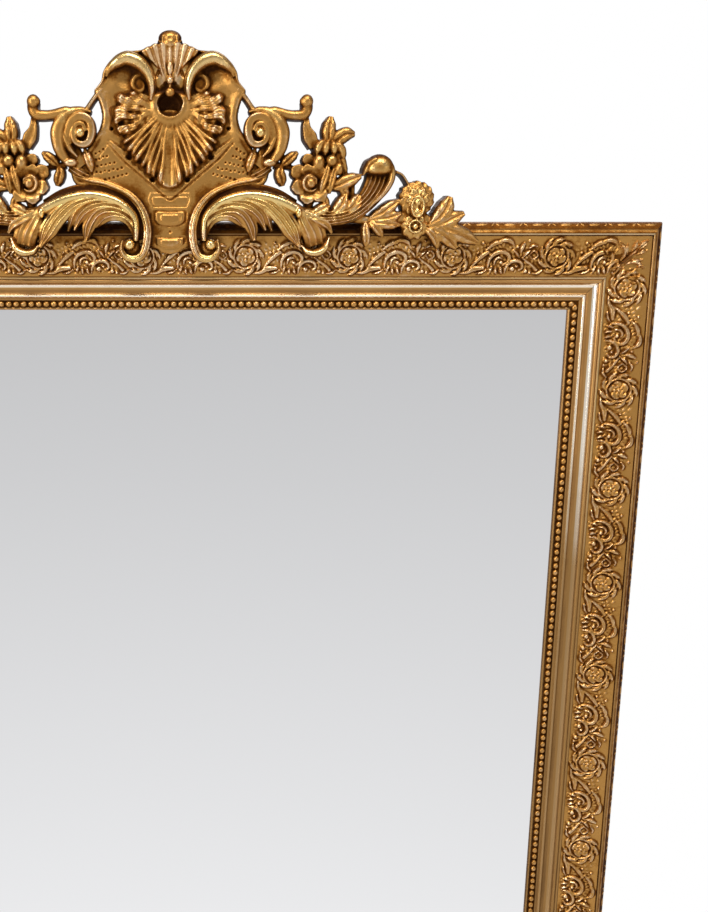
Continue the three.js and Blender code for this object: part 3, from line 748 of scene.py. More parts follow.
def rowTree(name, sphere):
    tree = bpy.data.node_groups.new(name, "GeometryNodeTree")
    for label, kind, value in (("Count", "NodeSocketInt", 10),
                               ("Pitch", "NodeSocketFloat", 0.01),
                               ("Start", "NodeSocketFloat", 0.0),
                               ("Size", "NodeSocketVector", (0.003, 0.003, 0.003)),
                               ("Turn", "NodeSocketFloat", 0.0),
                               ("Finish", "NodeSocketMaterial", None)):
        made = tree.interface.new_socket(label, in_out="INPUT", socket_type=kind)
        if value is not None:
            made.default_value = value
    tree.interface.new_socket("Geometry", in_out="OUTPUT", socket_type="NodeSocketGeometry")
    given, out = tree.nodes.new("NodeGroupInput"), tree.nodes.new("NodeGroupOutput")
    start = addNode(tree, "ShaderNodeCombineXYZ", {"X": given.outputs["Start"]})
    step = addNode(tree, "ShaderNodeCombineXYZ", {"X": given.outputs["Pitch"]})
    line = addNode(tree, "GeometryNodeMeshLine", {
        "Count": given.outputs["Count"], "Start Location": start.outputs[0], "Offset": step.outputs[0]})
    if sphere:
        unit = addNode(tree, "GeometryNodeMeshUVSphere", {"Segments": 10, "Rings": 6, "Radius": 1.0})
    else:
        unit = addNode(tree, "GeometryNodeMeshIcoSphere", {"Radius": 1.0, "Subdivisions": 2})
    smooth = addNode(tree, "GeometryNodeSetShadeSmooth", {"Geometry": unit.outputs["Mesh"]})
    turn = addNode(tree, "ShaderNodeCombineXYZ", {"Y": given.outputs["Turn"]})
    rows = addNode(tree, "GeometryNodeInstanceOnPoints", {
        "Points": line.outputs["Mesh"], "Instance": smooth.outputs[0], "Rotation": turn.outputs[0],
        "Scale": given.outputs["Size"]})
    real = addNode(tree, "GeometryNodeRealizeInstances", {"Geometry": rows.outputs["Instances"]})
    dress = addNode(tree, "GeometryNodeSetMaterial", {
        "Geometry": real.outputs[0], "Material": given.outputs["Finish"]})
    tree.links.new(dress.outputs[0], out.inputs["Geometry"])
    return tree


def rowMesh(tree, inputs):
    holder = newObject("rowHolder", bpy.data.meshes.new("rowHolder"))
    modifier = holder.modifiers.new("rows", "NODES")
    modifier.node_group = tree
    for item in tree.interface.items_tree:
        if item.item_type == "SOCKET" and item.in_out == "INPUT" and item.name in inputs:
            modifier[item.identifier] = inputs[item.name]
    made = solvedMesh(holder)
    points = np.empty(len(made.vertices) * 3, np.float32)
    made.vertices.foreach_get("co", points)
    faces = [tuple(p.vertices) for p in made.polygons]
    bpy.data.objects.remove(holder, do_unlink=True)
    bpy.data.meshes.remove(made)
    return points.reshape(-1, 3).astype(float) / mm, faces


beadRow = rowTree("beadRow", True)
ribbonRow = rowTree("ribbonRow", False)


# rails

railSet = {"gap": 0.3, "stops": 61, "sharpAngle": 38.0, "crestSpan": 322.0,
           "beadPitch": 8.4, "beadSize": (3.9, 3.3, 3.3), "beadU": 90.4, "beadDepth": 30.4,
           "ribbonPitch": 31.0, "padSize": (9.6, 1.8, 2.5), "knotSize": (3.9, 1.8, 1.5),
           "ribbonU": 3.9, "ribbonDepth": 35.8, "ribbonLean": 38.0}


def bend(start, control, end, count):
    t = np.linspace(0, 1, count)[:, None]
    a, b, c = (np.asarray(p, float) for p in (start, control, end))
    return ((1 - t) ** 2 * a + 2 * t * (1 - t) * b + t ** 2 * c).tolist()


def railRows():
    # (u, depth, brightness, finish of the face that follows): 0 carved, 1 burnished, 2 bare wood
    rows = [(0, 0, 0.3, 2), (0, 27, 0.28, 0)]

    def curve(start, control, end, count, low, high, finish):
        points = bend(start, control, end, count)
        for k, (u, d) in enumerate(points[:-1]):
            part = math.sin(math.pi * k / (count - 1))
            rows.append((u, d, low + (high - low) * part, finish))
        rows.append((*end, low, finish))

    curve((0, 27), (0, 37.5), (7, 39), 7, 0.10, 0.24, 0)
    curve((7, 39), (8, 44), (12.2, 44.5), 7, 0.22, 0.38, 0)
    rows += [(12.2, 45.7, 0.5, 1), (12.5, 46, 0.62, 1), (13.7, 46, 0.62, 1), (14, 45.7, 0.4, 1),
             (14, 44.4, 0.06, 0)]
    rows += [(59.5, 36.4, 0.1, 1), (60.4, 36.4, 0.06, 1)]
    rows += [(60.4, 37.8, 0.34, 1), (60.7, 38.1, 0.56, 1), (62.1, 38.1, 0.56, 1), (62.4, 37.8, 0.36, 1)]
    curve((63, 36.7), (65.2, 38.9), (67.2, 35.6), 8, 0.10, 0.34, 1)
    # the two bright lines of the hollow with a tan one between: painted reflections on the burnish
    for k, (u, d) in enumerate(bend((67.2, 35.6), (69.2, 31), (74.9, 31), 13)[:-1]):
        rows.append((u, d, 0.16 if k < 1 else 0.98 if k < 9 else 0.30, 1))
    for u, d in bend((74.9, 31), (79.1, 31), (79.6, 33), 8)[:-1]:
        rows.append((u, d, 0.20, 1))
    curve((79.6, 33), (81.4, 35), (83.2, 32), 9, 0.30, 0.98, 1)
    rows += [(84.0, 32, 0.16, 1), (85.6, 32, 0.22, 1), (86.2, 31.6, 0.2, 0), (86.6, 29.4, 0.05, 0),
             (94.0, 29.0, 0.05, 1)]
    curve((94.3, 29.0), (96.0, 31.2), (97, 28.4), 7, 0.08, 0.34, 1)
    rows += [(97, 26.5, 0.12, 2), (88, 26.5, 0.2, 2), (88, 0, 0.3, 2)]
    kept = [rows[0]]
    for row in rows[1:]:
        if abs(row[0] - kept[-1][0]) + abs(row[1] - kept[-1][1]) > 1e-6:
            kept.append(row)
        else:
            kept[-1] = row
    return kept


def roundFrame(block, turn):
    # local rows (s, depth, u) to their place round the frame, running clockwise
    s, u = block[:, 0].copy(), block[:, 2].copy()
    right, top = frameSize["width"] / 2, frameSize["topEdge"]
    middle = top - frameSize["height"] / 2
    if turn == 0:
        block[:, 0], block[:, 2] = s, top - u
    elif turn == 1:
        block[:, 0], block[:, 2] = right - u, middle - s
    elif turn == 2:
        block[:, 0], block[:, 2] = -s, top - frameSize["height"] + u
    else:
        block[:, 0], block[:, 2] = -right + u, middle + s


def buildRail(name, turn, length, phase, crestSpan=0.0):
    size = railSet
    rail = Gather()
    rows = railRows()
    count = len(rows)
    u = np.array([r[0] for r in rows])
    d = np.array([r[1] for r in rows])
    bright = np.array([r[2] for r in rows])
    stops = np.linspace(-1, 1, size["stops"])
    half = length / 2 - size["gap"] - u
    s = half[None, :] * stops[:, None]
    body = np.stack([s, np.broadcast_to(d, s.shape), np.broadcast_to(u, s.shape)], -1)
    faces, finish = [], []
    for k in range(len(stops) - 1):
        for j in range(count):
            n = (j + 1) % count
            faces.append((k * count + j, k * count + n, (k + 1) * count + n, (k + 1) * count + j))
            finish.append(rows[j][3])
    last = (len(stops) - 1) * count
    faces += [tuple(range(count)), tuple(range(last + count - 1, last - 1, -1))]
    finish += [2, 2]
    light = np.tile(bright, (len(stops), 1))
    if crestSpan:
        # dark where the crest stands over the edge: painted shade under the crest, and the leaf left off
        # there
        behind = smoothStep(crestSpan + 12, crestSpan - 12, np.abs(s)) * (u < 14.5)[None, :]
        light = light * (1 - 0.85 * behind)
    # the outer edge is hardly gilt; on the two upright rails it is painted darker still as painted shade
    # on the side turned from the light
    uprightEdgeShade = 0.25 if turn % 2 else 1.0
    light = np.where((u < 7.1)[None, :], light * uprightEdgeShade, light)
    # painted shade on the outer fillet of the upright rails
    if turn % 2:
        light = np.where(((u > 12.1) & (u < 14.1))[None, :], light * 0.55, light)
    rail.add(body, faces, light.reshape(-1), finish)

    # bead course in its channel
    span = length - 2 * (size["beadU"] + 4)
    beads = int(span / size["beadPitch"])
    points, faces = rowMesh(beadRow, {
        "Count": beads + 1, "Pitch": span / beads * mm, "Start": -span / 2 * mm,
        "Size": tuple(v * mm for v in size["beadSize"]), "Turn": 0.0, "Finish": giltCarved})
    dome = (points[:, 1] / size["beadSize"][1]) * -1
    points = np.stack([points[:, 0], size["beadDepth"] - points[:, 1], size["beadU"] + points[:, 2]], 1)
    rail.add(points, faces, 0.05 + 0.62 * smoothStep(0.15, 0.95, dome), 0)

    # ribbon and stick along the outer edge: long pads with crossed ties between
    span = length - 2 * (size["ribbonU"] + 11)
    pads = int(span / size["ribbonPitch"])
    pitch = span / pads
    for unit, shift, turned in (("padSize", 0.0, 0.05), ("knotSize", 0.5 - 0.09, 0.75),
                                ("knotSize", 0.5 + 0.09, -0.75)):
        points, faces = rowMesh(ribbonRow, {
            "Count": pads + (1 if shift == 0 else 0), "Pitch": pitch * mm,
            "Start": (-span / 2 + shift * pitch) * mm, "Size": tuple(v * mm for v in size[unit]),
            "Turn": turned, "Finish": giltCarved})
        # the row lies on the rounded edge
        lean = math.radians(size["ribbonLean"])
        out, side = points[:, 1], points[:, 2]
        top = smoothStep(-0.2, 0.9, -out / size[unit][1])
        depth = size["ribbonDepth"] - out * math.cos(lean) + side * math.sin(lean)
        place = size["ribbonU"] + out * math.sin(lean) + side * math.cos(lean)
        points = np.stack([points[:, 0], depth, place], 1)
        # on the upright rails the ribbon is painted dark as shade, with painted highlights only on the
        # highest points
        bright = 0.02 + 0.60 * smoothStep(0.9, 1.0, top) if turn % 2 else 0.07 + 0.40 * top
        # the ribbon under the crest takes the same painted shade
        if crestSpan:
            bright = np.where(np.abs(points[:, 0]) < crestSpan, 0.05, bright)
        rail.add(points, faces, bright, 0)

    carved = Gather()
    carved.add(*friezeSlab(length, phase, crestSpan))
    for work, pieceName in ((rail, name), (carved, name.replace("Rail", "Frieze"))):
        for block in work.points:
            roundFrame(block, turn)
        made, relief = work.mesh(pieceName)
        outward(made)
        storeLayer(made, "relief", relief)
        made.shade_smooth()
        made.set_sharp_from_angle(angle=math.radians(size["sharpAngle"]))
        wood = backWood if turn % 2 else crossWood
        finishes = [giltCarved, giltBurnished, wood] if work is rail else [giltCarved]
        placePiece(pieceName, made, finishes, name.replace("Rail", "_rail"))
        print(pieceName, "built:", triangleCount(made), "triangles")


buildRail("topRail", 0, frameSize["width"], friezeSet["topPhase"], railSet["crestSpan"])
buildRail("rightRail", 1, frameSize["height"], friezeSet["sidePhase"])
buildRail("bottomRail", 2, frameSize["width"], friezeSet["topPhase"])
buildRail("leftRail", 3, frameSize["height"], friezeSet["sidePhase"])


# looking-glass and the boards behind it

plateSet = {"halfWidth": 456.0, "top": -45.0, "bottom": -1317.0, "front": 26.2, "back": 21.2,
            "arris": 0.8}
boardSet = {"halfWidth": 456.0, "top": -45.0, "bottom": -1317.0, "front": 20.9, "back": 11.9,
            "boards": 5, "seam": 0.3, "arris": 1.6}


def slabPoints(left, right, low, high, back, front, arris):
    # box with its front and back arrises eased
    points = []
    for depth, inset in ((back, arris), (back + arris, 0), (front - arris, 0), (front, arris)):
        points += [(left + inset, depth, low + inset), (right - inset, depth, low + inset),
                   (right - inset, depth, high - inset), (left + inset, depth, high - inset)]
    faces = [(0, 1, 2, 3), (12, 15, 14, 13)]
    for ring in range(3):
        for k in range(4):
            n = (k + 1) % 4
            faces.append((ring * 4 + k, ring * 4 + n, ring * 4 + 4 + n, ring * 4 + 4 + k))
    return points, faces


def buildGlass():
    size = plateSet
    glass = Gather()
    points, faces = slabPoints(-size["halfWidth"], size["halfWidth"], size["bottom"], size["top"],
                               size["back"], size["front"], size["arris"])
    glass.add(points, faces, 0.5, [1, 0] + [1] * 8 + [0] * 4)
    made = glass.mesh("mirrorPlate")[0]
    outward(made)
    placePiece("mirrorPlate", made, [glassSilver, glassBack], "mirror_plate")
    print("mirror plate set in")


def buildBoards():
    size = boardSet
    boards = Gather()
    wide = 2 * size["halfWidth"] / size["boards"]
    last = size["boards"] - 1
    for k in range(size["boards"]):
        left = -size["halfWidth"] + k * wide + (size["seam"] / 2 if k else 0)
        right = -size["halfWidth"] + (k + 1) * wide - (size["seam"] / 2 if k < last else 0)
        boards.add(*slabPoints(left, right, size["bottom"], size["top"], size["back"], size["front"],
                               size["arris"]))
    made = boards.mesh("backBoards")[0]
    outward(made)
    placePiece("backBoards", made, [backWood], "backboard")
    print("back boards set in")


buildGlass()
buildBoards()


# crest: every carved form is a closed shell in (x, depth, height over the frame's top edge), then fused

crestSet = {"back": 34.0, "lapBack": 46.9, "voxel": 0.75, "triangles": 190000, "crumb": 600}
middleShells = Gather()
sprayShells = Gather()
carving = {"into": middleShells, "mirrored": True}


def putShell(points, faces, both=True):
    points = np.asarray(points, float).reshape(-1, 3)
    carving["into"].add(points, faces)
    if both and carving["mirrored"]:
        other = points * np.array([-1.0, 1.0, 1.0])
        carving["into"].add(other, [tuple(f[::-1]) for f in faces])


def backOf(h):
    # the crest stands on the frame: behind the top edge above it, on the face of the rail below it
    return np.where(h > 3.0, crestSet["back"], crestSet["lapBack"])


def roundSection(s, t):
    return domed(s)


def cushionSection(s, t):
    return domed(s, 4)


def flutedSection(ribs, deep):
    def section(s, t):
        dome = domed(np.abs(s), 2.6)
        return dome * (1 - deep * (0.5 - 0.5 * np.cos(2 * math.pi * (s * 0.5 + 0.5) * ribs + math.pi)))
    return section


def channelSection(flutes, deep):
    # hollow flutes with crisp ridges between them
    def section(s, t):
        dome = domed(np.abs(s), 3)
        return dome * (1 - deep * np.abs(np.sin(math.pi * flutes * (s * 0.5 + 0.5))) ** 0.8)
    return section


def veinedSection(s, t):
    dome = domed(np.abs(s), 3)
    return dome * (1 - 0.42 * np.exp(-(s / 0.2) ** 2))


def cuppedSection(s, t):
    return domed(s, 4) * (0.62 + 0.38 * s ** 2)


def rimmedSection(s, t):
    # raised band with a groove along each side
    dome = domed(s, 4)
    return dome * (1 - 0.34 * np.exp(-((np.abs(s) - 0.52) / 0.16) ** 2))


def carvedBand(points, width, crown, edge=None, back=None, section=roundSection, steps=60, ribs=15,
               both=True):
    path, along = smoothPath(points, steps)
    t = np.linspace(0, 1, steps)
    side = np.stack([-along[:, 1], along[:, 0]], 1)
    w = keyed(width, t)[:, None]
    crownLine = keyed(crown, t)[:, None]
    edgeLine = keyed(edge, t)[:, None] if edge is not None else crownLine - 9.0
    s = np.linspace(1, -1, ribs)[None, :]
    x = path[:, :1] + side[:, :1] * w * s
    h = path[:, 1:] + side[:, 1:] * w * s
    front = edgeLine + (crownLine - edgeLine) * section(s, t[:, None])
    behind = backOf(h) if back is None else np.broadcast_to(keyed(back, t)[:, None], h.shape)
    front = np.maximum(front, behind + 0.8)
    faceRows = np.stack([x, front, h], -1)
    backRows = np.stack([x, behind, h], -1)[:, ::-1]
    ring = np.concatenate([faceRows, backRows], 1)
    count = ring.shape[1]
    index = np.arange(steps * count).reshape(steps, count)
    after = np.roll(index, -1, axis=1)
    faces = np.stack([index[:-1], after[:-1], after[1:], index[1:]], -1).reshape(-1, 4).tolist()
    for row, flip in ((index[0], 1), (index[-1], -1)):
        for k in range(ribs - 1):
            cap = (row[k], row[k + 1], row[count - 2 - k], row[count - 1 - k])
            faces.append(cap[::flip])
    putShell(ring, faces, both)


def leafSection(s, t):
    # groove down the middle, side veins running out to the edge
    dome = domed(np.abs(s), 3)
    veins = 0.045 * np.cos(2 * math.pi * (t * 4.5 - np.abs(s) * 1.1)) * np.clip(np.abs(s) * 1.6, 0, 1)
    return dome * (0.94 + veins - 0.34 * np.exp(-(s / 0.17) ** 2))


def leafBlade(points, half, crown, section=leafSection, back=None):
    width = [half * 0.46, half * 1.02, half * 1.16, half * 1.06, half * 0.46]
    tops = [crown - 3.0, crown, crown + 0.6, crown - 0.8, crown - 4.0]
    lows = [v - 7.0 for v in tops]
    carvedBand(points, width, tops, lows, back, section, steps=40, ribs=17)


def ringPoints(centre, wide, tall, start=0.0, count=15):
    turn = math.radians(start) + np.linspace(0, 2 * math.pi, count)
    return [(centre[0] + wide * math.cos(a), centre[1] + tall * math.sin(a)) for a in turn]


def roundBall(place, radii, both=True, rows=14, turns=22, under=1.0):
    lat = np.linspace(0, math.pi, rows)
    lon = np.linspace(0, 2 * math.pi, turns, endpoint=False)
    points = [(place[0], place[1] + radii[1], place[2])]
    for a in lat[1:-1]:
        for b in lon:
            tall = radii[2] * (under if math.sin(b) < 0 else 1.0)
            points.append((place[0] + radii[0] * math.sin(a) * math.cos(b),
                           place[1] + radii[1] * math.cos(a),
                           place[2] + tall * math.sin(a) * math.sin(b)))
    points.append((place[0], place[1] - radii[1], place[2]))
    faces = [(0, 1 + k, 1 + (k + 1) % turns) for k in range(turns)]
    for r in range(rows - 3):
        for k in range(turns):
            n = (k + 1) % turns
            faces.append((1 + r * turns + k, 1 + (r + 1) * turns + k, 1 + (r + 1) * turns + n,
                          1 + r * turns + n))
    last = len(points) - 1
    base = 1 + (rows - 3) * turns
    faces += [(last, base + (k + 1) % turns, base + k) for k in range(turns)]
    putShell(points, faces, both)


def openFlower(centre, reach, petals, crown, fat, pointed=False, turn=0.0, cup=3.0):
    for k in range(petals):
        a = math.radians(turn) + 2 * math.pi * k / petals
        lift = 0.0 if k % 2 else -0.9
        # each petal bends a little as it leaves the heart
        path = [(centre[0] + r * math.cos(a + 0.10 * i), centre[1] + r * math.sin(a + 0.10 * i))
                for i, r in enumerate((reach * 0.12, reach * 0.5, reach * 0.8, reach))]
        if pointed:
            width = [fat * 0.5, fat * 0.95, fat, fat * 0.62, fat * 0.12]
        else:
            width = [fat * 0.4, fat * 0.8, fat * 1.05, fat * 1.0, fat * 0.45]
        tops = [crown - cup + lift, crown - cup * 0.4 + lift, crown + lift, crown - 0.6 + lift,
                crown - 3.6 + lift]
        section = veinedSection if pointed else cuppedSection
        carvedBand(path, width, tops, [v - 5.0 for v in tops], section=section, steps=22, ribs=11)


# the ground of the middle: shell, coved shoulders, palmette, wings and foot as one height field

groundSet = {"pitch": 0.8, "plate": 50.0, "eye": (0.0, 123.0), "eyeRadius": 11.4,
             "punches": [(52, 57, 93, 50, 10), (60, 63, 88, 57, 7), (68, 70, 84, 64, 5),
                         (72, 77, 80, 72, 3), (47, 51, 70, 45, 6)],
             "outline": [(0, 190), (10, 187), (20, 182), (33, 176.5), (52, 171.5), (64, 161), (68, 152),
                         (77, 142), (81, 135), (76, 125), (73, 111), (76, 98), (86, 82), (97, 66),
                         (107, 53), (100, 38), (77, 35.5), (55, 29.5), (41, 19), (31, 4), (26.5, -12),
                         (28, -26), (16, -28.5), (8, -33), (0, -35)]}


def outlineDistance(x, h, outline):
    # signed distance to a closed outline, + inside
    a = np.asarray(outline, float)
    b = np.roll(a, -1, axis=0)
    inside = np.zeros(x.shape, bool)
    best = np.full(x.shape, 1e9)
    for (ax, ah), (bx, bh) in zip(a, b):
        crosses = (ah > h) != (bh > h)
        with np.errstate(divide="ignore", invalid="ignore"):
            at = (bx - ax) * (h - ah) / (bh - ah) + ax
        inside ^= crosses & (x < at)
        best = np.minimum(best, lineDistance(x, h, (ax, ah), (bx, bh)))
    return np.where(inside, best, -best)


def lineDistance(x, h, start, end):
    ex, eh = end[0] - start[0], end[1] - start[1]
    t = np.clip(((x - start[0]) * ex + (h - start[1]) * eh) / (ex * ex + eh * eh + 1e-9), 0, 1)
    return np.hypot(x - start[0] - t * ex, h - start[1] - t * eh)


shellSet = {"ribs": [(7.5, 2.9, 1.0), (13.6, 2.4, 0.78), (19.4, 2.9, 1.0), (25.6, 2.5, 0.80),
                     (31.8, 3.0, 1.0), (38.0, 2.5, 0.82), (44.4, 3.0, 1.0), (50.4, 2.5, 0.80)],
            "lobes": [(58, 9.4, 0.82), (75, 8.2, 1.0), (92, 9.8, 0.84), (111, 10.4, 1.0),
                      (128, 8.0, 0.8)],
            "rimAt": [0, 5, 9, 16, 25, 38, 50, 56, 60, 68, 76, 84, 92, 100, 106, 112],
            "rim": [87, 85, 79, 75.5, 70.5, 66, 63.5, 63, 63, 62, 60, 60, 59.5, 55, 46, 36]}


def ridges(at, places, swing, reach, power):
    # rounded ridges at uneven places, each with its own width and height
    field = np.zeros_like(at)
    for k, (place, half, tall) in enumerate(places):
        off = np.abs(at - place + swing * np.sin(reach + 2.1 * k)) / half
        field = np.maximum(field, tall * domed(off, power))
    return field


def shellFace(x, h, ax):
    # ribs in pairs with narrow grooves in the lower fan, ruffled lobes in the two ears
    ex, eh = groundSet["eye"]
    r = np.hypot(x - ex, h - eh)
    angle = np.degrees(np.arctan2(ax, -(h - eh)))
    ribs = np.maximum(ridges(angle, shellSet["ribs"], 0.9, r * 0.13, 2.0), 0.22)
    lobe = np.degrees(np.arctan2(ax - 16, -(h - 117)))
    lobes = ridges(lobe, shellSet["lobes"], 5.6, r * 0.17, 2.2)
    ear = smoothStep(52, 57, angle)
    rim = np.interp(angle, shellSet["rimAt"], shellSet["rim"])
    rim = rim * np.where(angle < 54.5, 0.95 + 0.07 * np.where(angle < 5.5, 0.7, ribs),
                         0.88 + 0.14 * lobes)
    part = r / rim
    grow = smoothStep(0.16, 0.7, part)
    fan = 49.5 + 7.5 * np.clip(part, 0, 1) ** 1.5 + (1.0 + 4.8 * grow) * (ribs - 0.55)
    fan += 0.8 * (np.abs(np.cos(math.pi * angle / 2.1)) - 0.5) * smoothStep(0.35, 0.6, part)
    fan += 1.8 * np.exp(-((part - 0.90) / 0.08) ** 2) * ribs
    fan -= 2.8 * smoothStep(0.93, 1.0, part)
    # smooth tongue down the middle
    out = np.clip(r / shellSet["rim"][0], 0, 1)
    tongue = smoothStep(1.0, 0.82, ax / (2.4 + 7.4 * out ** 2.0))
    tongueFace = 51.0 + 7.2 * out ** 1.6 - 1.4 * np.exp(-(ax / 2.6) ** 2) * smoothStep(26, 60, r)
    fan = blendIn(fan, tongueFace, tongue * smoothStep(20, 30, r))
    raffle = 49.0 + 9.5 * np.clip(part, 0, 1) ** 1.3
    raffle += (1.0 + 4.4 * smoothStep(0.3, 0.75, part)) * (lobes - 0.6)
    fold = np.abs(np.cos(math.pi * (lobe + 4.5 * np.sin(r * 0.19 + 0.4)) / 6.1))
    raffle += 2.2 * (fold - 0.5) * smoothStep(0.32, 0.58, part)
    raffle += 1.1 * np.sin(r * 0.62 + lobe * 0.11) * smoothStep(0.40, 0.6, part)
    raffle += 1.6 * np.exp(-((part - 0.84) / 0.07) ** 2) * lobes
    raffle -= 4.0 * smoothStep(0.90, 1.0, part)
    face = blendIn(fan, raffle, ear)
    on = smoothStep(1.03, 0.985, part) * (1 - smoothStep(108, 114, angle))
    gap = np.exp(-((part - 1.05) / 0.035) ** 2) * (1 - smoothStep(96, 106, angle))
    gap = gap * smoothStep(3, 8, angle)
    return face, on, gap, r


def punchPlaces():
    places = []
    for x0, h0, x1, h1, count in groundSet["punches"]:
        for k in range(count):
            t = k / (count - 1)
            places.append((x0 + (x1 - x0) * t, h0 + (h1 - h0) * t + 0.5 * math.sin(3.1 * k + x0)))
    return places


def crestGround():
    size = groundSet
    half = smoothPath(size["outline"], 190)[0]
    outline = np.vstack([half, (half * np.array([-1, 1]))[::-1][1:-1]])
    x1 = np.arange(-112, 112.01, size["pitch"])
    h1 = np.arange(-38, 196.01, size["pitch"])
    x, h = np.meshgrid(x1, h1)
    inside = outlineDistance(x, h, outline)
    ax = np.abs(x)
    f = np.full(x.shape, size["plate"])
    # smooth border from the shoulders to the waist
    border = smoothStep(80, 94, h) * (1 - smoothStep(156, 168, h)) * smoothStep(30, 42, ax)
    f += border * 3.6 * np.exp(-((inside - 5.0) / 6.5) ** 2)
    # wings: raised rim, incised border, strap that hugs the shell and runs out to a point
    wing = smoothStep(34, 44, h) * (1 - smoothStep(84, 98, h)) * smoothStep(8, 20, ax)
    f += wing * 1.8 * np.exp(-((inside - 2.4) / 2.0) ** 2)
    f -= wing * 1.5 * np.exp(-((inside - 6.2) / 0.8) ** 2)
    strap = lineDistance(ax, h, (0, 29), (72, 90))
    along = np.clip((ax * 72 + (h - 29) * 61) / (72 ** 2 + 61 ** 2), 0, 1)
    strapHalf = 4.8 - 3.4 * smoothStep(0.62, 1.0, along)
    fade = 1 - smoothStep(0.82, 1.0, along)
    f += fade * (1.5 * smoothStep(strapHalf, strapHalf - 1.2, strap)
                 - 1.5 * np.exp(-((strap - strapHalf - 0.9) / 0.8) ** 2))
    f -= 0.9 * fade * np.exp(-(strap / 0.8) ** 2) * smoothStep(12, 20, ax)
    f -= wing * 1.1 * np.exp(-(lineDistance(ax, h, (67, 83), (84, 58)) / 0.8) ** 2)
    # punched rows on the wings
    for px, ph in punchPlaces():
        f -= 1.7 * np.exp(-(np.hypot(ax - px, h - ph) / 1.3) ** 4)
    # shoulder hollow under the rolled rim, before the shell is laid over it
    hollow = np.hypot((ax - 42) / 24, (h - 152) / 17)
    f = np.minimum(f, blendIn(f, 47.0 + 4.0 * np.clip(hollow, 0, 1) ** 2, smoothStep(1.2, 0.4, hollow)))
    face, on, gap, r = shellFace(x, h, ax)
    f -= 1.4 * gap
    f = blendIn(f, face, on)
    # drilled curls at the shell's edge and nail holes
    for px, ph, pr, deep in ((44, 69, 3.0, 5.0), (18.5, 45, 2.4, 4.5), (62.5, 98, 1.6, 6.0)):
        f -= deep * np.exp(-(np.hypot(ax - px, h - ph) / pr) ** 4)
    # collar and drilled eye, with a ledge in its lower half
    ex, eh = size["eye"]
    collar = smoothStep(24, 17, r) * smoothStep(138, 130, h)
    f = blendIn(f, 54.0, collar)
    eye = smoothStep(size["eyeRadius"] + 2.0, size["eyeRadius"] - 1.6,
                     np.hypot((x - ex) * 0.92, h - eh))
    bowl = 40.0 + 8.0 * smoothStep(-3.0, -6.0, h - eh + 0.03 * x * x)
    f = blendIn(f, bowl, eye)
    # palmette: a flaring fan of seven ribs
    pr = np.hypot(x, h - 132)
    pa = np.degrees(np.arctan2(ax, h - 132))
    rib = np.abs(np.cos(math.pi * (pa + 0.9 * np.sin(pr * 0.16)) / 9.4))
    wide = 25 + 9 * smoothStep(28, 50, pr)
    tip = 50.0 + 0.16 * pa + 2.2 * rib
    onFan = smoothStep(1.03, 0.98, pr / tip) * smoothStep(1.06, 0.98, pa / wide)
    onFan = onFan * smoothStep(12, 16, pr)
    fanFace = 53.5 + 8.5 * np.clip((pr - 14) / 38, 0, 1) ** 1.4
    fanFace += 4.0 * (rib ** 0.75 - 0.5) * smoothStep(14, 30, pr)
    f = blendIn(f, fanFace, onFan)
    # neck between the fan and the rolled rims, with a small drilled slot on each side
    neck = smoothStep(46, 40, pr) * smoothStep(10, 15, pr)
    neck = neck * smoothStep(1.0, 1.06, pa / wide) * smoothStep(66, 54, pa)
    f = np.maximum(f, blendIn(f, 53.5, neck))
    slot = np.hypot((ax - 12.6 + 0.35 * (h - 155)) / 1.7, (h - 155) / 4.6)
    f -= 3.4 * np.exp(-slot ** 4)
    # foot: shield with cut lines, two soft cushions
    foot = smoothStep(28, 24, ax) * smoothStep(36, 33, h)
    shield = np.maximum(ax - 24 + 0.35 * np.abs(h - 24), np.abs(h - 22) - 9)
    f += foot * (1.0 * smoothStep(1.2, -1.8, shield) - 1.5 * np.exp(-((shield + 3.4) / 0.8) ** 2))
    for ph, pw, pt, rise in ((4.0, 16.5, 7.4, 2.2), (-21.5, 15.5, 4.8, 2.4)):
        pad = (np.abs(ax / pw) ** 4 + np.abs((h - ph - 0.010 * ax ** 2 + 1.0) / pt) ** 4) ** 0.25
        f += rise * domed(pad, 3) - 1.4 * np.exp(-((pad - 1.06) / 0.06) ** 2)
        f -= 1.1 * np.exp(-((pad - 0.68) / 0.06) ** 2)
    f -= 1.6 * np.exp(-(np.hypot(x, h + 10.5) / 1.6) ** 4)
    f -= 1.6 * np.exp(-((ax - 21.5) / 0.9) ** 2) * smoothStep(12, 6, h) * smoothStep(-30, -24, h)
    # rounded edges
    ease = np.clip(1 - inside / 4.0, 0, 1)
    f -= 4.0 * (1 - domed(ease))
    keep = inside > -0.3
    behind = backOf(h)
    f = np.maximum(f, behind + 1.5)
    cell = keep[:-1, :-1] & keep[1:, :-1] & keep[:-1, 1:] & keep[1:, 1:]
    index = np.arange(x.size).reshape(x.shape)
    quads = gridQuads(index)[cell]
    edges = {}
    for a, b in ((0, 1), (1, 2), (2, 3), (3, 0)):
        for p, q in zip(quads[:, a].tolist(), quads[:, b].tolist()):
            if (q, p) in edges:
                del edges[(q, p)]
            else:
                edges[(p, q)] = True
    total = x.size
    faces = quads.tolist() + (quads[:, ::-1] + total).tolist()
    faces += [(p, p + total, q + total, q) for p, q in edges]
    points = np.vstack([np.stack([x, f, h], -1).reshape(-1, 3),
                        np.stack([x, behind, h], -1).reshape(-1, 3)])
    used = np.unique(np.array([i for face in faces for i in face]))
    renumber = np.full(len(points), -1)
    renumber[used] = np.arange(len(used))
    faces = [tuple(renumber[list(face)]) for face in faces]
    putShell(points[used], faces, both=False)


crestGround()
print("crest ground carved")


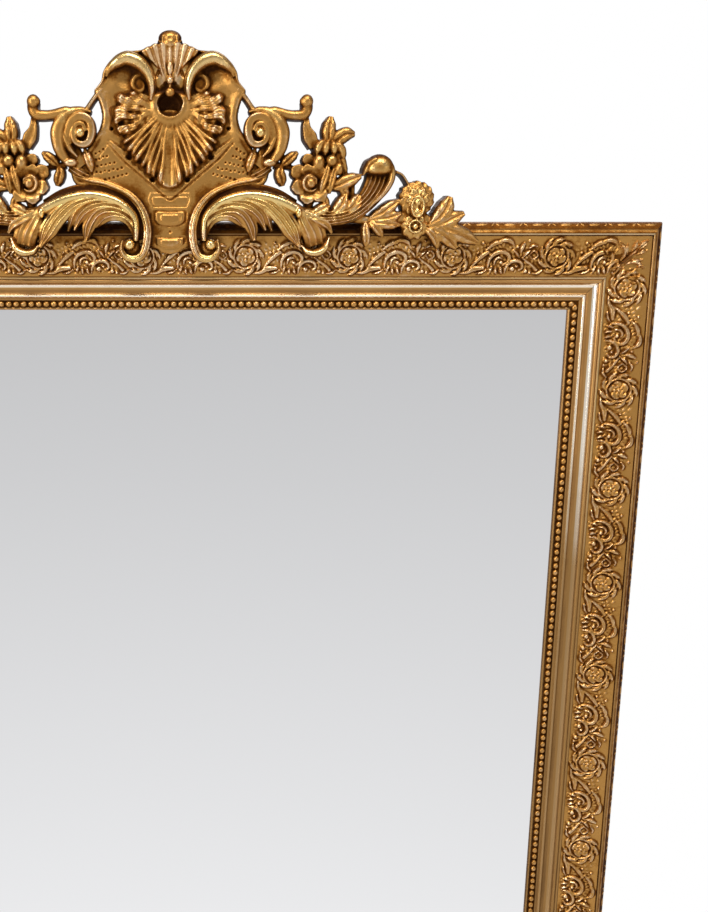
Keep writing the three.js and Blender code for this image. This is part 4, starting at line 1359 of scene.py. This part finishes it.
def middleOrnament():
    # rolled rims of the shoulders, each curling down to a small tube beside the eye
    carvedBand([(67.5, 151), (64.5, 158), (57, 165), (46.7, 169.5), (37, 167.5), (28.5, 161.5),
                (21.8, 151.5), (19, 139), (20.5, 127)], [1.6, 4.8, 6.8, 7.8, 7.6, 6.6, 5.4, 4.2, 2.4],
               [55, 59.5, 62.5, 64, 64.5, 64, 63.2, 61.5, 56], [50, 51, 52.5, 53.5, 54, 54, 53, 51, 49],
               steps=90, ribs=17)
    carvedBand([(80, 137), (72, 146), (69, 156), (61.5, 166), (50, 173), (37, 175.5), (29, 177)],
               [1.2, 1.8, 2.2, 2.4, 2.6, 2.4, 1.4], [54, 56, 57, 57.5, 58, 58, 56], steps=70, ribs=9)
    carvedBand([(23.5, 148), (30, 152.5), (37.5, 150), (39.5, 142.5), (34, 136.5), (28, 139),
                (28.5, 145), (33, 145.5)], [2.0, 3.2, 3.8, 3.8, 3.6, 3.0, 2.4, 1.6],
               [52, 54, 55, 55, 54.8, 54.5, 54, 53.5], steps=70, ribs=13)
    roundBall((32, 48.5, 144), (7.0, 5.0, 7.5))
    # drop and beads down the palmette, bud over it
    roundBall((0, 62, 158.5), (2.9, 3.4, 7.0), both=False)
    carvedBand([(0, 152), (0, 143), (0, 133)], [2.4, 2.2, 2.0], [61, 60, 59], back=50.0, steps=20,
               ribs=9, both=False)
    roundBall((0, 60, 146.5), (3.6, 4.0, 3.8), both=False)
    roundBall((0, 58.5, 134.5), (5.0, 5.4, 4.8), both=False)
    roundBall((0, 50.5, 189.5), (12.4, 12.0, 8.6), both=False)
    roundBall((0, 57.5, 184.5), (7.5, 6.0, 5.5), both=False)
    carvedBand([(-12.5, 187), (-7, 183.5), (0, 181.5), (7, 183.5), (12.5, 187)],
               [1.6, 2.2, 2.4, 2.2, 1.6], [58, 62.5, 64, 62.5, 58], steps=34, ribs=9, both=False)
    for lean in (-7.2, -2.6, 2.6, 7.2):
        carvedBand([(lean * 0.55, 196), (lean, 191), (lean * 1.1, 185.5)], [1.2, 2.3, 1.6],
                   [56.5 - abs(lean) * 0.25, 63.4 - abs(lean) * 0.25, 63.8 - abs(lean) * 0.2],
                   steps=24, ribs=9, both=False)
    # lip below the drilled eye
    carvedBand([(-14, 123), (-10, 113), (0, 109), (10, 113), (14, 123)], [1.0, 2.2, 2.6, 2.2, 1.0],
               [53.5, 55.5, 56, 55.5, 53.5], steps=40, ribs=9, both=False)


def archAndVolute():
    # the arch line comes down the foot and wraps under the volute's eye
    carvedBand([(51.5, -19), (53, -28.5), (48.5, -36.5), (39.5, -39.5), (30.5, -35.5), (26, -24),
                (24.8, -6), (31, 14), (45, 29.3), (68.6, 40), (88, 44), (104, 49)],
               [2.0, 3.6, 4.4, 4.6, 4.8, 4.8, 4.6, 4.5, 4.3, 4.1, 3.8, 1.8],
               [61, 63, 63.5, 62.5, 61, 59, 57.5, 56, 54.5, 54, 53.5, 52.5], section=rimmedSection,
               steps=150, ribs=21)
    roundBall((44, 58.0, -24), (6.2, 8.0, 6.2))
    roundBall((43, 50, -27), (10.5, 8.0, 11.0))


def acanthusSpray():
    # one great leaf springing from the eye: its lobes follow the arch, the tips hang over the rail
    lobes = [([(39, -14), (42, -3), (50, 4.5), (62, 6.5), (72, 3), (80, -6)],
              [2.5, 4.6, 5.2, 5.6, 5.0, 1.4], 60.0, 2),
             ([(38, -15), (41, 1), (51, 9.5), (66, 13), (79, 9), (88, -4), (92, -20)],
              [2.5, 4.4, 5.2, 6.4, 7.6, 7.4, 3.0], 61.5, 3),
             ([(37, -15), (40, 4), (51, 14), (68, 18.5), (85, 15.5), (97, 6), (104, -9)],
              [2.2, 4.0, 4.8, 5.4, 6.4, 6.0, 1.8], 63.0, 3),
             ([(41, 8), (52, 17.5), (70, 22.5), (90, 20), (103, 10), (111, -10)],
              [3.0, 3.6, 4.4, 5.6, 5.0, 1.4], 62.5, 2),
             ([(44, 11), (60, 22.5), (82, 25.5), (103, 21), (119, 9), (131, -7), (141.5, -27)],
              [3.0, 4.2, 5.4, 8.0, 10.4, 10.0, 2.6], 65.0, 4),
             ([(37, -20), (36.5, -8), (38, 3), (43.5, 12), (54, 20.5), (68, 26), (83, 28.5), (96, 28),
               (110, 25), (124, 20), (138, 13), (150, 5)],
              [3.0, 3.6, 4.0, 4.4, 4.8, 5.2, 5.6, 5.8, 6.0, 6.2, 6.2, 5.0], 64.8, 1)]
    for points, width, crown, flutes in lobes:
        n = len(points)
        tops = [crown - 5 + 5 * math.sin(math.pi * min(1.0, 0.25 + 0.55 * k / (n - 1)))
                for k in range(n)]
        tops[-1] -= 2.0
        section = channelSection(flutes, 0.42) if flutes > 1 else roundSection
        carvedBand(points, width, tops, [v - 8 for v in tops], section=section, steps=110,
                   ribs=11 + 8 * flutes)
    # web behind the lobes so the spray is solid
    carvedBand([(44, 2), (56, 12), (80, 17), (106, 15), (132, 6)], [5, 7, 9, 11, 9],
               [53, 55, 56, 56, 56], [50, 51, 52, 52, 52], steps=50)
    # backing in the shadow between the rim and the arch
    carvedBand([(31, -18), (31, 0), (37, 14), (50, 26), (70, 33), (92, 35), (114, 30), (136, 19)],
               [4.5, 4.5, 5.0, 5.5, 5.5, 6.0, 6.0, 5.0], [51, 51, 51, 51, 51, 51, 52, 53], 49.5,
               steps=60, ribs=9)
    # end of the leaf turned over into a smooth cone with a bright lip
    carvedBand([(141, 13), (149, 1), (156.5, -12), (160, -25)], [6, 11.5, 13.5, 13.0],
               [62, 63, 61.5, 57.5], [53, 54, 54, 51], section=channelSection(4, 0.3), steps=60,
               ribs=41)
    roundBall((139, 61.5, 10), (3.4, 5.0, 5.6))
    carvedBand([(143.5, -25), (149, -31.5), (159, -33), (168, -28), (173, -16)],
               [1.4, 3.8, 4.6, 4.0, 1.4], [60, 64, 66, 65, 60], steps=50, ribs=15)
    carvedBand([(146, 10), (157, 4), (170, -3), (176, -12)], [4.0, 6.0, 6.0, 2.0], [62, 64, 63, 58],
               section=flutedSection(2, 0.3), steps=40, ribs=17)


def hookedLeaf():
    carvedBand([(146, 8), (164, 5), (181, 5.5), (195, 9.5), (207, 17.5), (217, 28), (224, 40),
                (227, 51)], [8.0, 8.6, 9.0, 9.6, 10.5, 11.5, 13.2, 14.6],
               [62, 63, 63.5, 64, 64, 63, 61.5, 59.5], [53, 53, 53, 53, 53, 52, 51, 51],
               section=channelSection(6, 0.42), steps=140, ribs=61)
    leafBlade([(154, 9), (163, 13), (173, 18)], 5.6, 63.5)
    leafBlade([(176, 9), (184, 17), (190, 29)], 6.4, 64.0)
    leafBlade([(190, 11), (198, 18), (204, 29)], 6.0, 63.5)
    # smooth hood rolled over the flutes, its right side running down into the stem
    roundBall((224.5, 55.5, 55.5), (16.2, 12.0, 16.0), rows=26, turns=44, under=0.42)
    carvedBand([(214, 16), (226, 26), (234.5, 37), (238.5, 48), (236, 59), (228, 67)],
               [2.0, 3.2, 4.0, 4.4, 4.8, 3.0], [60, 62, 62.5, 62.5, 62.5, 62], steps=60)
    carvedBand([(207.5, 49), (210.5, 55.5), (215, 62), (221, 66)], [1.2, 3.6, 5.0, 4.0],
               [60, 63.5, 65, 65.5], steps=40)
    carvedBand([(239, 54), (249, 50.6), (254.5, 44.3), (258, 38)], [2.8, 1.9, 1.9, 1.8],
               [57, 57, 57, 57], steps=40, ribs=11)


def sideScroll():
    # web, then the spiral, the two crescents outside it and the arm with its knob
    roundBall((96, 48, 96), (16.0, 7.5, 18.0))
    carvedBand([(100, 108), (111, 98), (112, 84), (104, 70), (96, 58)], [7, 10, 10, 10, 8],
               [52, 53, 53, 53, 53], 49.5, steps=50)
    tops = [58, 59.5, 60.5, 61, 61.2, 61.2, 61, 61, 61, 61, 60.8, 60.5, 60]
    carvedBand([(107.5, 82), (109, 95), (104, 106.5), (95.5, 110.5), (86.5, 106.5), (83.5, 95.5),
                (87, 84.5), (94.5, 81.5), (102, 86), (103.5, 95.5), (99.5, 102), (93, 102),
                (89.5, 95.5)],
               [3.0, 4.2, 4.6, 4.7, 4.6, 4.5, 4.2, 3.9, 3.5, 3.2, 2.9, 2.6, 2.0],
               tops, [v - 3.6 for v in tops], section=cushionSection, steps=170, ribs=17)
    roundBall((96.2, 57.5, 93.6), (5.4, 6.4, 5.6))
    tops = [55, 58, 60.5, 62, 62, 61, 59.5, 57]
    carvedBand([(84, 115), (94, 117), (104.5, 115), (114, 108), (120.5, 95.5), (119.5, 80), (114, 68.5),
                (106, 62)], [2.0, 4.2, 6.0, 7.2, 7.4, 6.8, 5.8, 3.6], tops, [v - 6.5 for v in tops],
               steps=110, ribs=21)
    carvedBand([(113.5, 101), (112.5, 89), (107, 77), (99.5, 68.5)], [1.6, 3.4, 4.2, 2.0],
               [58, 59.5, 59.5, 56.5], steps=60, ribs=15)
    roundBall((107, 55.5, 62.5), (7.4, 5.4, 4.6))
    tops = [58, 60, 60, 59.5, 59.5, 59, 57.5]
    carvedBand([(102, 117), (112, 115.5), (123, 112.5), (134, 111.5), (142.5, 112.5), (146, 118.5),
                (145.8, 126)], [3.0, 5.4, 5.6, 5.4, 5.8, 6.2, 6.2], tops, [v - 6.5 for v in tops],
               steps=70, ribs=19)
    roundBall((145.4, 54.5, 125.5), (7.0, 7.8, 7.6))
    roundBall((140.8, 56, 125.5), (3.2, 4.4, 4.4))
    carvedBand([(72, 139), (81, 129), (90, 116)], [4.0, 3.2, 3.4], [54, 54, 55], steps=26, ribs=9)
    # small leaf and husk where the scroll stands on the wing
    leafBlade([(84.5, 53), (86, 61), (89, 69), (91.5, 77)], 4.4, 57.0, back=48.0)
    carvedBand([(88, 47), (98, 52), (108, 58.5)], [6.0, 6.5, 5.0], [54, 56, 56],
               section=channelSection(3, 0.4), steps=30, ribs=27)


def petalCup(place, reach, facing, crown, tilt=0.0):
    # one broad petal: a shallow cup with a rolled rim, tilted about its root
    a = math.radians(facing)
    out = (math.cos(a), math.sin(a))
    path = [(place[0] + out[0] * reach * k, place[1] + out[1] * reach * k)
            for k in (-1.0, -0.4, 0.3, 1.0)]
    tops = [crown - 2.5 - tilt, crown - 1.0, crown + 0.6 + tilt * 0.5, crown - 0.6 + tilt]
    carvedBand(path, [reach * 0.45, reach * 0.95, reach * 1.18, reach * 1.02, reach * 0.30], tops,
               [v - 6.0 for v in tops], section=cuppedSection, steps=24, ribs=15)


def flowerSpray():
    # stems and a backing first, so that nothing hangs free
    stems = [([(150, 14), (153, 30), (155, 52), (163, 72), (171, 84)], [4.5, 6.0, 9.0, 10.0, 3.0]),
             ([(160, 34), (170, 46), (176, 60), (177, 76)], [6.0, 9.0, 7.0, 4.0]),
             ([(112, 60), (122, 59), (134, 56), (146, 46)], [3.6, 3.0, 3.0, 3.0]),
             ([(146, 108), (147, 98), (152, 84), (160, 70)], [2.6, 3.0, 3.4, 3.0]),
             ([(158, 38), (174, 42), (188, 46), (197, 46)], [3.2, 3.2, 3.0, 2.8]),
             ([(197, 49), (197.5, 36), (197, 22), (196, 6)], [3.0, 3.0, 3.2, 3.6])]
    for points, width in stems:
        carvedBand(points, width, 54.0, 49.0, steps=40, ribs=11)
    # bud leaf under the knob, two free leaves above
    carvedBand([(146.5, 112), (146, 100), (149.5, 90), (155, 79)], [2.0, 4.6, 8.0, 6.4],
               [56, 59, 60.5, 58.5], section=cuppedSection, steps=50, ribs=17)
    leafBlade([(170, 80), (169.5, 92), (170.5, 101), (172, 110.5)], 6.6, 60.5)
    leafBlade([(172, 80), (180, 87), (188, 92), (198, 92.5)], 7.2, 60.0)
    # upper bloom: drooping petals round a dark throat
    for points, half in (([(166, 86), (160, 81), (157, 71)], 4.0),
                         ([(170, 86), (167, 79), (166, 70)], 3.9),
                         ([(173, 85.5), (175.5, 79), (176, 70)], 3.9),
                         ([(176, 84), (183.5, 77), (186.5, 65)], 4.0)):
        leafBlade(points, half, 62.5, section=roundSection)
    roundBall((159.5, 56.5, 62.5), (6.6, 7.2, 8.4))
    roundBall((173.5, 56.5, 64.5), (6.4, 7.0, 6.4))
    roundBall((181.5, 55.5, 56), (5.0, 6.2, 7.0))
    petalCup((148, 66), 6.0, 120, 59.5, 1.0)
    # lower bloom: folded petals, a ring and the round heart inside it
    for place, reach, facing, high in (((137.5, 53), 7.6, 140, 60.0), ((139, 37), 7.8, 190, 61.0),
                                       ((148, 26.5), 7.4, 262, 60.5), ((161.5, 29), 8.0, 305, 61.0),
                                       ((167.5, 41), 7.0, 0, 60.0), ((159, 53), 7.8, 60, 61.0),
                                       ((148, 54), 6.6, 100, 60.0)):
        petalCup(place, reach, facing, high, 1.4)
    carvedBand(ringPoints((151.5, 41), 8.0, 8.4, 60)[:11], [0.8, 2.4, 2.8, 2.6, 2.0, 0.8],
               [60, 62.5, 63, 62.5, 61.5, 60], 55.0, steps=50, ribs=11)
    carvedBand([(146, 45), (151, 47.5), (156.5, 45.5), (158, 40)], [0.8, 1.9, 1.9, 0.8],
               [60, 62.5, 62.5, 60], steps=24, ribs=9)
    roundBall((151.5, 58.5, 41), (5.2, 5.0, 5.4))
    # leaves between and beside the blooms
    for points, half, crown in (([(162, 31), (165, 42), (168, 52), (170, 62)], 3.8, 63.0),
                                ([(172, 30), (173.5, 41), (176, 51), (179, 61)], 3.8, 62.0),
                                ([(178, 78), (182, 70), (185, 60), (189.5, 48)], 5.2, 59.0),
                                ([(172, 36), (182, 39), (193, 44), (206, 48.5)], 6.8, 61.0),
                                ([(183, 40), (188, 33), (190, 24)], 4.8, 60.0),
                                ([(164, 30), (168, 22), (170, 12)], 4.2, 59.5),
                                ([(120, 59), (126, 64.5), (132, 69.5), (137.5, 73.5)], 5.0, 59.0),
                                ([(120, 59), (118.5, 52), (120, 46), (122, 38)], 5.4, 59.0)):
        leafBlade(points, half, crown)


def endFlowers():
    # ruffled daisy above with a long heart, open flower below
    openFlower((267, 24.5), 18.6, 14, 60.0, 6.2, turn=4, cup=2.6)
    openFlower((267, 24.5), 14.0, 11, 62.0, 4.2, pointed=True, turn=15, cup=2.4)
    carvedBand(ringPoints((267, 16.5), 6.4, 10.5), 2.1, 64.0, 57.0, steps=60, ribs=11)
    roundBall((267, 58.5, 21), (4.0, 5.6, 4.8))
    roundBall((267, 58.0, 11.5), (3.6, 5.0, 4.2))
    openFlower((265.5, -5), 13.6, 9, 60.5, 5.6, turn=10, cup=3.2)
    carvedBand(ringPoints((265.5, -4.5), 6.6, 6.4), 1.9, 62.5, 56.0, steps=50, ribs=11)
    roundBall((265.5, 58.5, -4.5), (3.6, 4.8, 3.6))
    for points, half in (([(217, 4), (228, 9), (238, 16), (248.5, 23)], 6.0),
                         ([(217, 2), (227, 3), (238, 5), (251, 9)], 6.0),
                         ([(218, 0), (228, -1), (238, -2), (250, -3)], 5.4),
                         ([(216, 0), (221.5, -4), (226.5, -9), (231.5, -15.5)], 4.6),
                         ([(212, 0), (212.5, -8), (213.5, -17), (214, -26.5)], 4.6),
                         ([(283, -2), (292, 5), (299, 15), (303.5, 27)], 8.2),
                         ([(282, -4), (295, -2), (307, 4), (319.5, 9.5)], 7.0),
                         ([(280, -5), (298, -7), (316, -13), (335.5, -22)], 8.0),
                         ([(280, -8), (291, -10), (302, -17), (313, -28)], 7.0),
                         ([(276, -6), (284, -12), (289, -19), (292, -28)], 4.6)):
        leafBlade(points, half, 60.5)
    # stems that tie the bunch to the hooked leaf
    carvedBand([(196, 4), (220, 2), (244, 4), (268, 6), (288, -2)], [5.0, 5.0, 6.0, 8.0, 5.0], 54.5,
               49.5, steps=40)


for carve in (middleOrnament, archAndVolute):
    carve()
    print("crest middle:", carve.__name__)
carving.update(into=sprayShells, mirrored=False)
for carve in (acanthusSpray, hookedLeaf, sideScroll, flowerSpray, endFlowers):
    carve()
    print("crest spray:", carve.__name__)


def fuseShells(shells, name):
    size = crestSet
    for block in shells.points:
        block[:, 2] += frameSize["topEdge"]
    made = shells.mesh(name)[0]
    outward(made)
    piece = newObject(name, made)
    fuse = piece.modifiers.new("fuse", "REMESH")
    fuse.mode = "VOXEL"
    fuse.voxel_size = size["voxel"] * mm
    ease = piece.modifiers.new("ease", "SMOOTH")
    ease.factor = 0.5
    ease.iterations = 1
    fused = solvedMesh(piece)
    count = triangleCount(fused)
    if count > size["triangles"]:
        piece.modifiers.clear()
        piece.data = fused
        thin = piece.modifiers.new("thin", "DECIMATE")
        thin.ratio = size["triangles"] / count
        fused = solvedMesh(piece)
    bpy.data.objects.remove(piece, do_unlink=True)
    print(name, "fused:", count, "triangles before thinning,", len(fused.polygons), "after")
    return fused


def dropCrumbs(made, least):
    # loose specks left by the fusing go
    work = bmesh.new()
    work.from_mesh(made)
    seen = set()
    islands = 0
    for start in work.verts:
        if start in seen:
            continue
        island, wait = [start], [start]
        seen.add(start)
        while wait:
            for edge in wait.pop().link_edges:
                for other in edge.verts:
                    if other not in seen:
                        seen.add(other)
                        island.append(other)
                        wait.append(other)
        if len(island) < least:
            bmesh.ops.delete(work, geom=island, context="VERTS")
        else:
            islands += 1
    work.to_mesh(made)
    work.free()
    print("crest islands:", islands)


def vertexPlaces(made):
    co = np.empty(len(made.vertices) * 3, np.float32)
    no = np.empty(len(made.vertices) * 3, np.float32)
    made.vertices.foreach_get("co", co)
    made.vertices.foreach_get("normal", no)
    return co.reshape(-1, 3) / mm, no.reshape(-1, 3)


# where the gilding is polished and carries a painted highlight: a line, its reach and its strength
# great leaf, its lip, rolled rim, volute, hood, scroll eye, arm, end flowers, bloom, hooked leaf
crestPolishAndHighlight = [([(40, 4), (56, 20), (82, 26), (108, 20), (134, 0)], 17.0, 1.0),
               ([(150, -31), (166, -29)], 8.0, 0.55),
               ([(56, 166), (40, 169), (24, 162), (19, 148)], 9.0, 0.55),
               ([(44, -24), (40, -38)], 11.0, 0.9),
               ([(214, 60), (226, 63), (236, 58)], 13.0, 0.5),
               ([(96, 94), (97, 94)], 8.0, 0.9),
               ([(106, 117), (115, 109)], 6.0, 0.7),
               ([(267, 24), (265, -4)], 14.0, 0.8),
               ([(158, 74), (178, 72)], 8.0, 0.7),
               ([(150, 8), (200, 8)], 8.0, 0.5)]

# broad changes of tone with painted light and shade, as place, reach and change: palmette and great leaf
# painted lighter, hood, drilled eye, tubes, bud, knob and small blooms painted darker, partly as painted
# shade
crestLightAndTone = [(0, 165, (28, 34), 0.38), (80, 16, (52, 26), 0.10), (126, 8, (30, 34), 0.08),
             (225, 60, (24, 20), -0.34), (0, 123, (20, 20), -0.26), (45, 148, (22, 18), -0.05),
             (33, 144, (13, 13), -0.24), (0, 137, (19, 9), -0.34), (67, 153, (13, 13), -0.16),
             (180, 8, (40, 14), 0.05), (166, 62, (36, 44), -0.16), (0, 2, (26, 36), -0.08),
             (0, 80, (72, 46), -0.07), (267, 16, (20, 34), -0.05), (146, 120, (18, 16), -0.19),
             (122, 113, (26, 12), -0.08), (0, 188, (18, 12), -0.32), (170, 16, (14, 12), -0.06),
             (100, 92, (30, 34), -0.06), (126, 56, (15, 24), -0.26), (148, 98, (10, 15), -0.12),
             (180, 98, (24, 18), -0.07)]

# deep lines that stay dark, with their reach, the depth they start below and the change:
# under the arch, under the rolled rims, behind the blooms
crestShade = [([(28, -14), (30.5, 2), (39, 17), (54, 28), (74, 34.5), (96, 36), (118, 30), (138, 20)],
               4.5, 56.0, -0.40),
              ([(26, 150), (34, 158), (44, 160)], 7.0, 54.0, -0.12),
              ([(152, 50), (170, 52), (178, 70)], 14.0, 56.0, -0.30)]

# the map of front depths that the layers are read from, a cell to the millimetre
layerSet = {"wide": 700, "tall": 280, "left": 350, "low": 10, "middle": 0.53, "most": 0.84,
            "blurs": ((1.7, 0.125), (5.5, 0.050))}


def nearLine(x, h, line, count):
    path = smoothPath(line, count)[0]
    return np.min(np.hypot(x[:, None] - path[None, :, 0], h[:, None] - path[None, :, 1]), axis=1)


def crestLayers(meshes):
    # tops and hollows from the front depth against its own blur, with painted light and shade, and where
    # the leaf was polished with a painted highlight
    size = layerSet
    read = [vertexPlaces(made) for made in meshes]
    grid = np.full((size["tall"], size["wide"]), -1.0)
    spots = []
    for co, no in read:
        ix = np.clip(np.round(co[:, 0] + size["left"]).astype(int), 0, size["wide"] - 1)
        iz = np.clip(np.round(co[:, 2] + size["low"]).astype(int), 0, size["tall"] - 1)
        facing = no[:, 1] < 0.15
        np.maximum.at(grid, (iz[facing], ix[facing]), -co[facing, 1])
        spots.append((ix, iz))
    held = (grid > 0).astype(float)
    filled = np.where(grid > 0, grid, 0.0)
    # the blur only counts where there is carving, so free edges are not made bright
    blurs = []
    for s, gain in size["blurs"]:
        blurs.append((blurGrid(filled, s, s) / np.maximum(blurGrid(held, s, s), 0.05), gain))
    for made, (co, no), (ix, iz) in zip(meshes, read, spots):
        light = np.full(len(co), size["middle"])
        for soft, gain in blurs:
            light += (-co[:, 1] - soft[iz, ix]) * gain
        # painted shade on faces turned towards the back
        light = np.where(no[:, 1] < 0.1, light, light - 0.2)
        # painted shade on the steep flanks, most of all on those facing down
        shadedFlank = smoothStep(0.28, 0.85, 1 - np.clip(-no[:, 1], 0, 1))
        light -= (0.20 + 0.12 * np.clip(-no[:, 2], 0, 1)) * shadedFlank
        x, h = np.abs(co[:, 0]), co[:, 2] - frameSize["topEdge"]
        for px, ph, reach, change in crestLightAndTone:
            light += change * smoothStep(1.0, 0.5, np.hypot((x - px) / reach[0], (h - ph) / reach[1]))
        for line, reach, below, change in crestShade:
            near = smoothStep(reach, reach * 0.5, nearLine(x, h, line, 40))
            light += change * near * smoothStep(below, below - 2.5, -co[:, 1])
        light = np.minimum(light, size["most"])
        for px, ph in punchPlaces():
            light -= 0.35 * np.exp(-(((x - px) ** 2 + (h - ph) ** 2) / 1.7))
        shine = np.zeros(len(co))
        for line, reach, strength in crestPolishAndHighlight:
            near = smoothStep(reach, reach * 0.55, nearLine(x, h, line, 24))
            shine = np.maximum(shine, strength * near)
        storeLayer(made, "relief", light)
        storeLayer(made, "shine", shine)


middleMesh = fuseShells(middleShells, "crestMiddle")
rightMesh = fuseShells(sprayShells, "crestRight")
for made in (middleMesh, rightMesh):
    dropCrumbs(made, crestSet["crumb"])
    made.materials.clear()
leftMesh = rightMesh.copy()
leftMesh.name = "crestLeft"
turned = vertexPlaces(rightMesh)[0]
leftMesh.vertices.foreach_set("co", (turned * np.array([-mm, mm, mm])).astype(np.float32).reshape(-1))
leftMesh.flip_normals()
leftMesh.update()
crestLayers((middleMesh, rightMesh, leftMesh))
for made, name in ((middleMesh, "crestMiddle"), (rightMesh, "crestRight"), (leftMesh, "crestLeft")):
    made.shade_smooth()
    facing = np.empty(len(made.polygons) * 3, np.float32)
    made.polygons.foreach_get("normal", facing)
    made.polygons.foreach_set("material_index", (facing.reshape(-1, 3)[:, 1] > 0.6).astype(np.int32))
    placePiece(name, made, [giltCarved, backWood], "crest")
print("crest placed")
